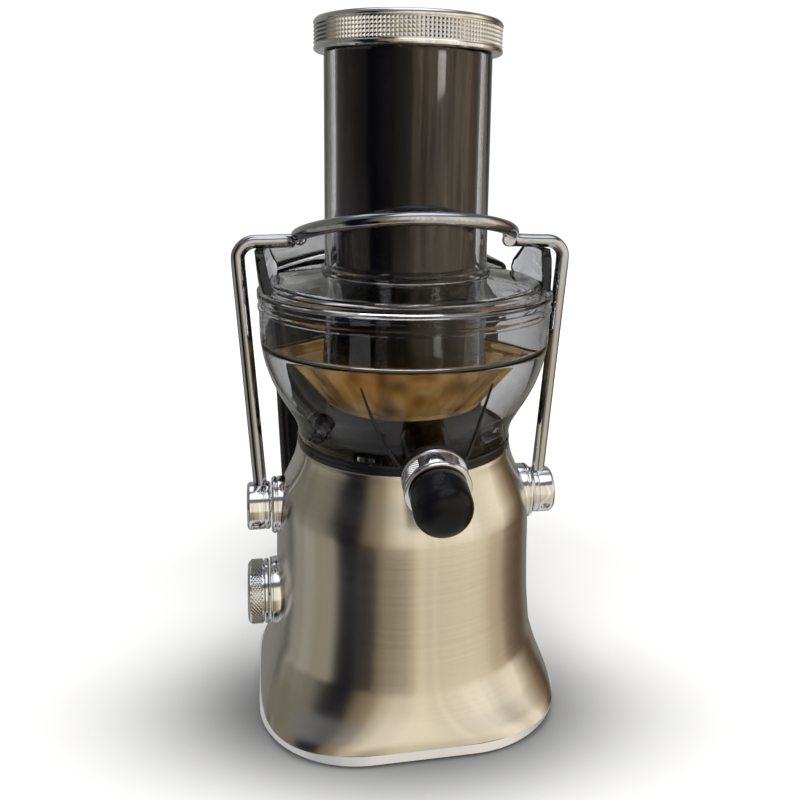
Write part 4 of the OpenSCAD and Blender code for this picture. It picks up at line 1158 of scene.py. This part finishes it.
def world():
    w = bpy.data.worlds.new("studio")
    SCENE.world = w
    w.use_nodes = True
    w.cycles.sampling_method = "NONE"
    nt = w.node_tree
    nt.nodes.clear()
    s = nd(nt, "SeparateXYZ", {0: nd(nt, "TexCoord").outputs["Generated"]})
    a = nd(nt, "Math", {0: s.outputs[1], 1: s.outputs[0]}, operation="ARCTAN2").outputs[0]
    a = nd(nt, "Math", {0: a, 1: 1 / (2 * PI)}, operation="MULTIPLY").outputs[0]
    a = nd(nt, "Math", {0: a, 1: 1.0}, operation="ADD").outputs[0]
    a = nd(nt, "Math", {0: a}, operation="FRACT").outputs[0]
    e = s.outputs[2]

    def turn(stops, gain):
        """Tones around the room, given in degrees; at most 31 stops fit one ramp."""
        return ramp(nt, a, [(d / 360, tuple(v * gain for v in srgb(*c))) for d, c in stops]).outputs[0]

    def step(lo, hi, v=e):
        return nd(nt, "MapRange", {"Value": v, "From Min": lo, "From Max": hi}, interpolation_type="SMOOTHSTEP").outputs[0]

    def mixc(f, x, y):
        m = nd(nt, "Mix", {0: f}, data_type="RGBA")
        for k, v in ((6, x), (7, y)):
            if isinstance(v, tuple):
                m.inputs[k].default_value = (*v, 1)
            else:
                nt.links.new(v, m.inputs[k])
        return m.outputs[2]

    low = turn(LOW, 1.25)
    high = turn(HIGH, 1.15)
    # fine upright streaks
    st = nd(nt, "TexNoise", {"W": nd(nt, "Math", {0: a, 1: 90.0}, operation="MULTIPLY").outputs[0], "Scale": 1.0, "Detail": 3.0, "Roughness": 0.6},
            noise_dimensions="1D")
    k1 = remap(nt, st.outputs[0], 0.8, 1.2, 0.3, 0.7)
    k2 = ramp(nt, nd(nt, "MapRange", {"Value": e, "From Min": -1.0, "From Max": 0.0}).outputs[0],
              [(0.0, grey(0.9)), (0.4, grey(0.96)), (0.52, grey(1.0)), (0.64, grey(1.1)), (1.0, grey(1.2))])
    low = nd(nt, "VectorMath", {0: low, 1: nd(nt, "Math", {0: k1, 1: k2.outputs[0]}, operation="MULTIPLY").outputs[0]}, operation="MULTIPLY").outputs[0]
    high = nd(nt, "VectorMath", {0: high, 1: k1}, operation="MULTIPLY").outputs[0]
    # broader, stronger streaks for what is seen through the clear parts
    fi = nd(nt, "TexNoise", {"Vector": nd(nt, "CombineXYZ", {0: nd(nt, "Math", {0: a, 1: 46.0}, operation="MULTIPLY"), 1: nd(nt, "Math", {0: e, 1: 5.0}, operation="MULTIPLY")}),
                             "Scale": 1.0, "Detail": 4.0, "Roughness": 0.65})
    streak = ramp(nt, fi.outputs[0], [(0.32, grey(0.12)), (0.48, grey(0.7)), (0.56, grey(1.2)), (0.70, grey(1.9))]).outputs[0]
    lp = nd(nt, "LightPath")
    inside = nd(nt, "Math", {0: lp.outputs["Transmission Depth"], 1: 0.5}, operation="GREATER_THAN").outputs[0]
    pat = mixc(step(-0.25, -0.06), low, mixc(inside, high, nd(nt, "VectorMath", {0: turn(INSIDE, 1.1), 1: streak}, operation="MULTIPLY").outputs[0]))
    pat = mixc(step(0.5, 0.64), pat, (0.16, 0.16, 0.165))
    over = ramp(nt, a, [(d / 360, grey(v)) for d, v in ((0, 0.9), (14, 0.35), (40, 0.3), (60, 1.3), (130, 1.3), (150, 0.4), (186, 0.3), (196, 0.02),
                                                        (218, 0.02), (228, 0.5), (240, 1.25), (340, 1.3))]).outputs[0]
    pat = mixc(step(0.74, 0.84), pat, over)
    pat = mixc(step(-0.74, -0.84), pat, (0.62, 0.62, 0.62))
    f = nd(nt, "Math", {0: lp.outputs["Glossy Depth"], 1: 0.5}, operation="GREATER_THAN").outputs[0]
    pat = mixc(f, (1.04, 1.04, 1.04), pat)
    bg = nd(nt, "Background", {"Color": pat, "Strength": 1.0})
    o = nd(nt, "OutputWorld")
    nt.links.new(bg.outputs[0], o.inputs[0])


# tones of the room by bearing in degrees: seen in the body and seen at eye height
LOW = [(0, (.48, .41, .33)), (10, (.39, .32, .25)), (20, (.34, .27, .21)), (30, (.28, .22, .17)), (38, (.33, .28, .23)),
       (44, (.46, .45, .41)), (81, (.46, .46, .44)), (138, (.44, .44, .43)), (143, (.28, .28, .28)), (148, (.30, .30, .30)),
       (153, (.56, .55, .52)), (164, (.50, .49, .44)), (168, (.58, .57, .53)), (177, (.56, .55, .50)),
       (181, (.50, .48, .42)), (199, (.57, .55, .49)), (204, (.20, .20, .20)), (207, (.05, .05, .07)), (220, (.05, .05, .07)),
       (223, (.17, .17, .19)), (226, (.05, .05, .07)), (237, (.07, .07, .08)), (242, (.44, .39, .31)), (262, (.50, .45, .36)),
       (270, (.64, .58, .48)), (277, (.76, .71, .62)), (310, (.77, .72, .63)), (335, (.78, .73, .64)), (347, (.66, .60, .50))]
HIGH = [(3, (.85, .80, .71)), (21, (.52, .44, .34)), (32, (.30, .24, .19)), (42, (.34, .31, .28)), (60, (.50, .50, .48)), (100, (.55, .55, .54)),
        (127, (.50, .49, .46)), (147, (.44, .43, .39)), (163, (.43, .42, .37)), (176, (.46, .45, .40)), (190, (.42, .40, .36)), (196, (.26, .26, .26)),
        (202, (.09, .09, .11)), (214, (.06, .06, .08)), (222, (.09, .09, .11)), (227, (.36, .32, .25)), (233, (.48, .42, .33)), (243, (.58, .52, .42)),
        (253, (.82, .77, .67)), (263, (.91, .86, .78)), (272, (.95, .91, .82)), (293, (.90, .86, .77)), (303, (.93, .88, .80)), (314, (.98, .93, .85)),
        (326, (.95, .91, .83)), (337, (.86, .82, .73)), (350, (.96, .91, .83))]
INSIDE = [(0, (.80, .70, .57)), (12, (.62, .50, .38)), (20, (.34, .25, .17)), (36, (.28, .22, .17)), (44, (.62, .61, .58)),
        (60, (.80, .80, .79)), (90, (.95, .95, .95)), (118, (.80, .80, .80)), (126, (.22, .22, .22)), (146, (.20, .20, .20)),
        (152, (.09, .09, .09)), (186, (.09, .09, .09)), (191, (.30, .30, .30)), (196, (.08, .08, .08)),
        (245, (.08, .08, .08)), (262, (.12, .11, .10)), (268, (.55, .46, .36)), (276, (.80, .70, .58)),
        (290, (.70, .60, .48)), (300, (.90, .82, .70)), (322, (.90, .82, .70)), (335, (.75, .66, .54)), (348, (.90, .82, .70))]
world()
SCENE.view_settings.view_transform = "Standard"
SCENE.view_settings.look = "None"
SCENE.view_settings.exposure = 0
SCENE.view_settings.gamma = 1
cy = SCENE.cycles
cy.max_bounces = 24
cy.transmission_bounces = 24
cy.transparent_max_bounces = 24
cy.glossy_bounces = 8
cy.diffuse_bounces = 3
cy.sample_clamp_indirect = 6.0
cy.use_denoising = True
cy.caustics_reflective = False
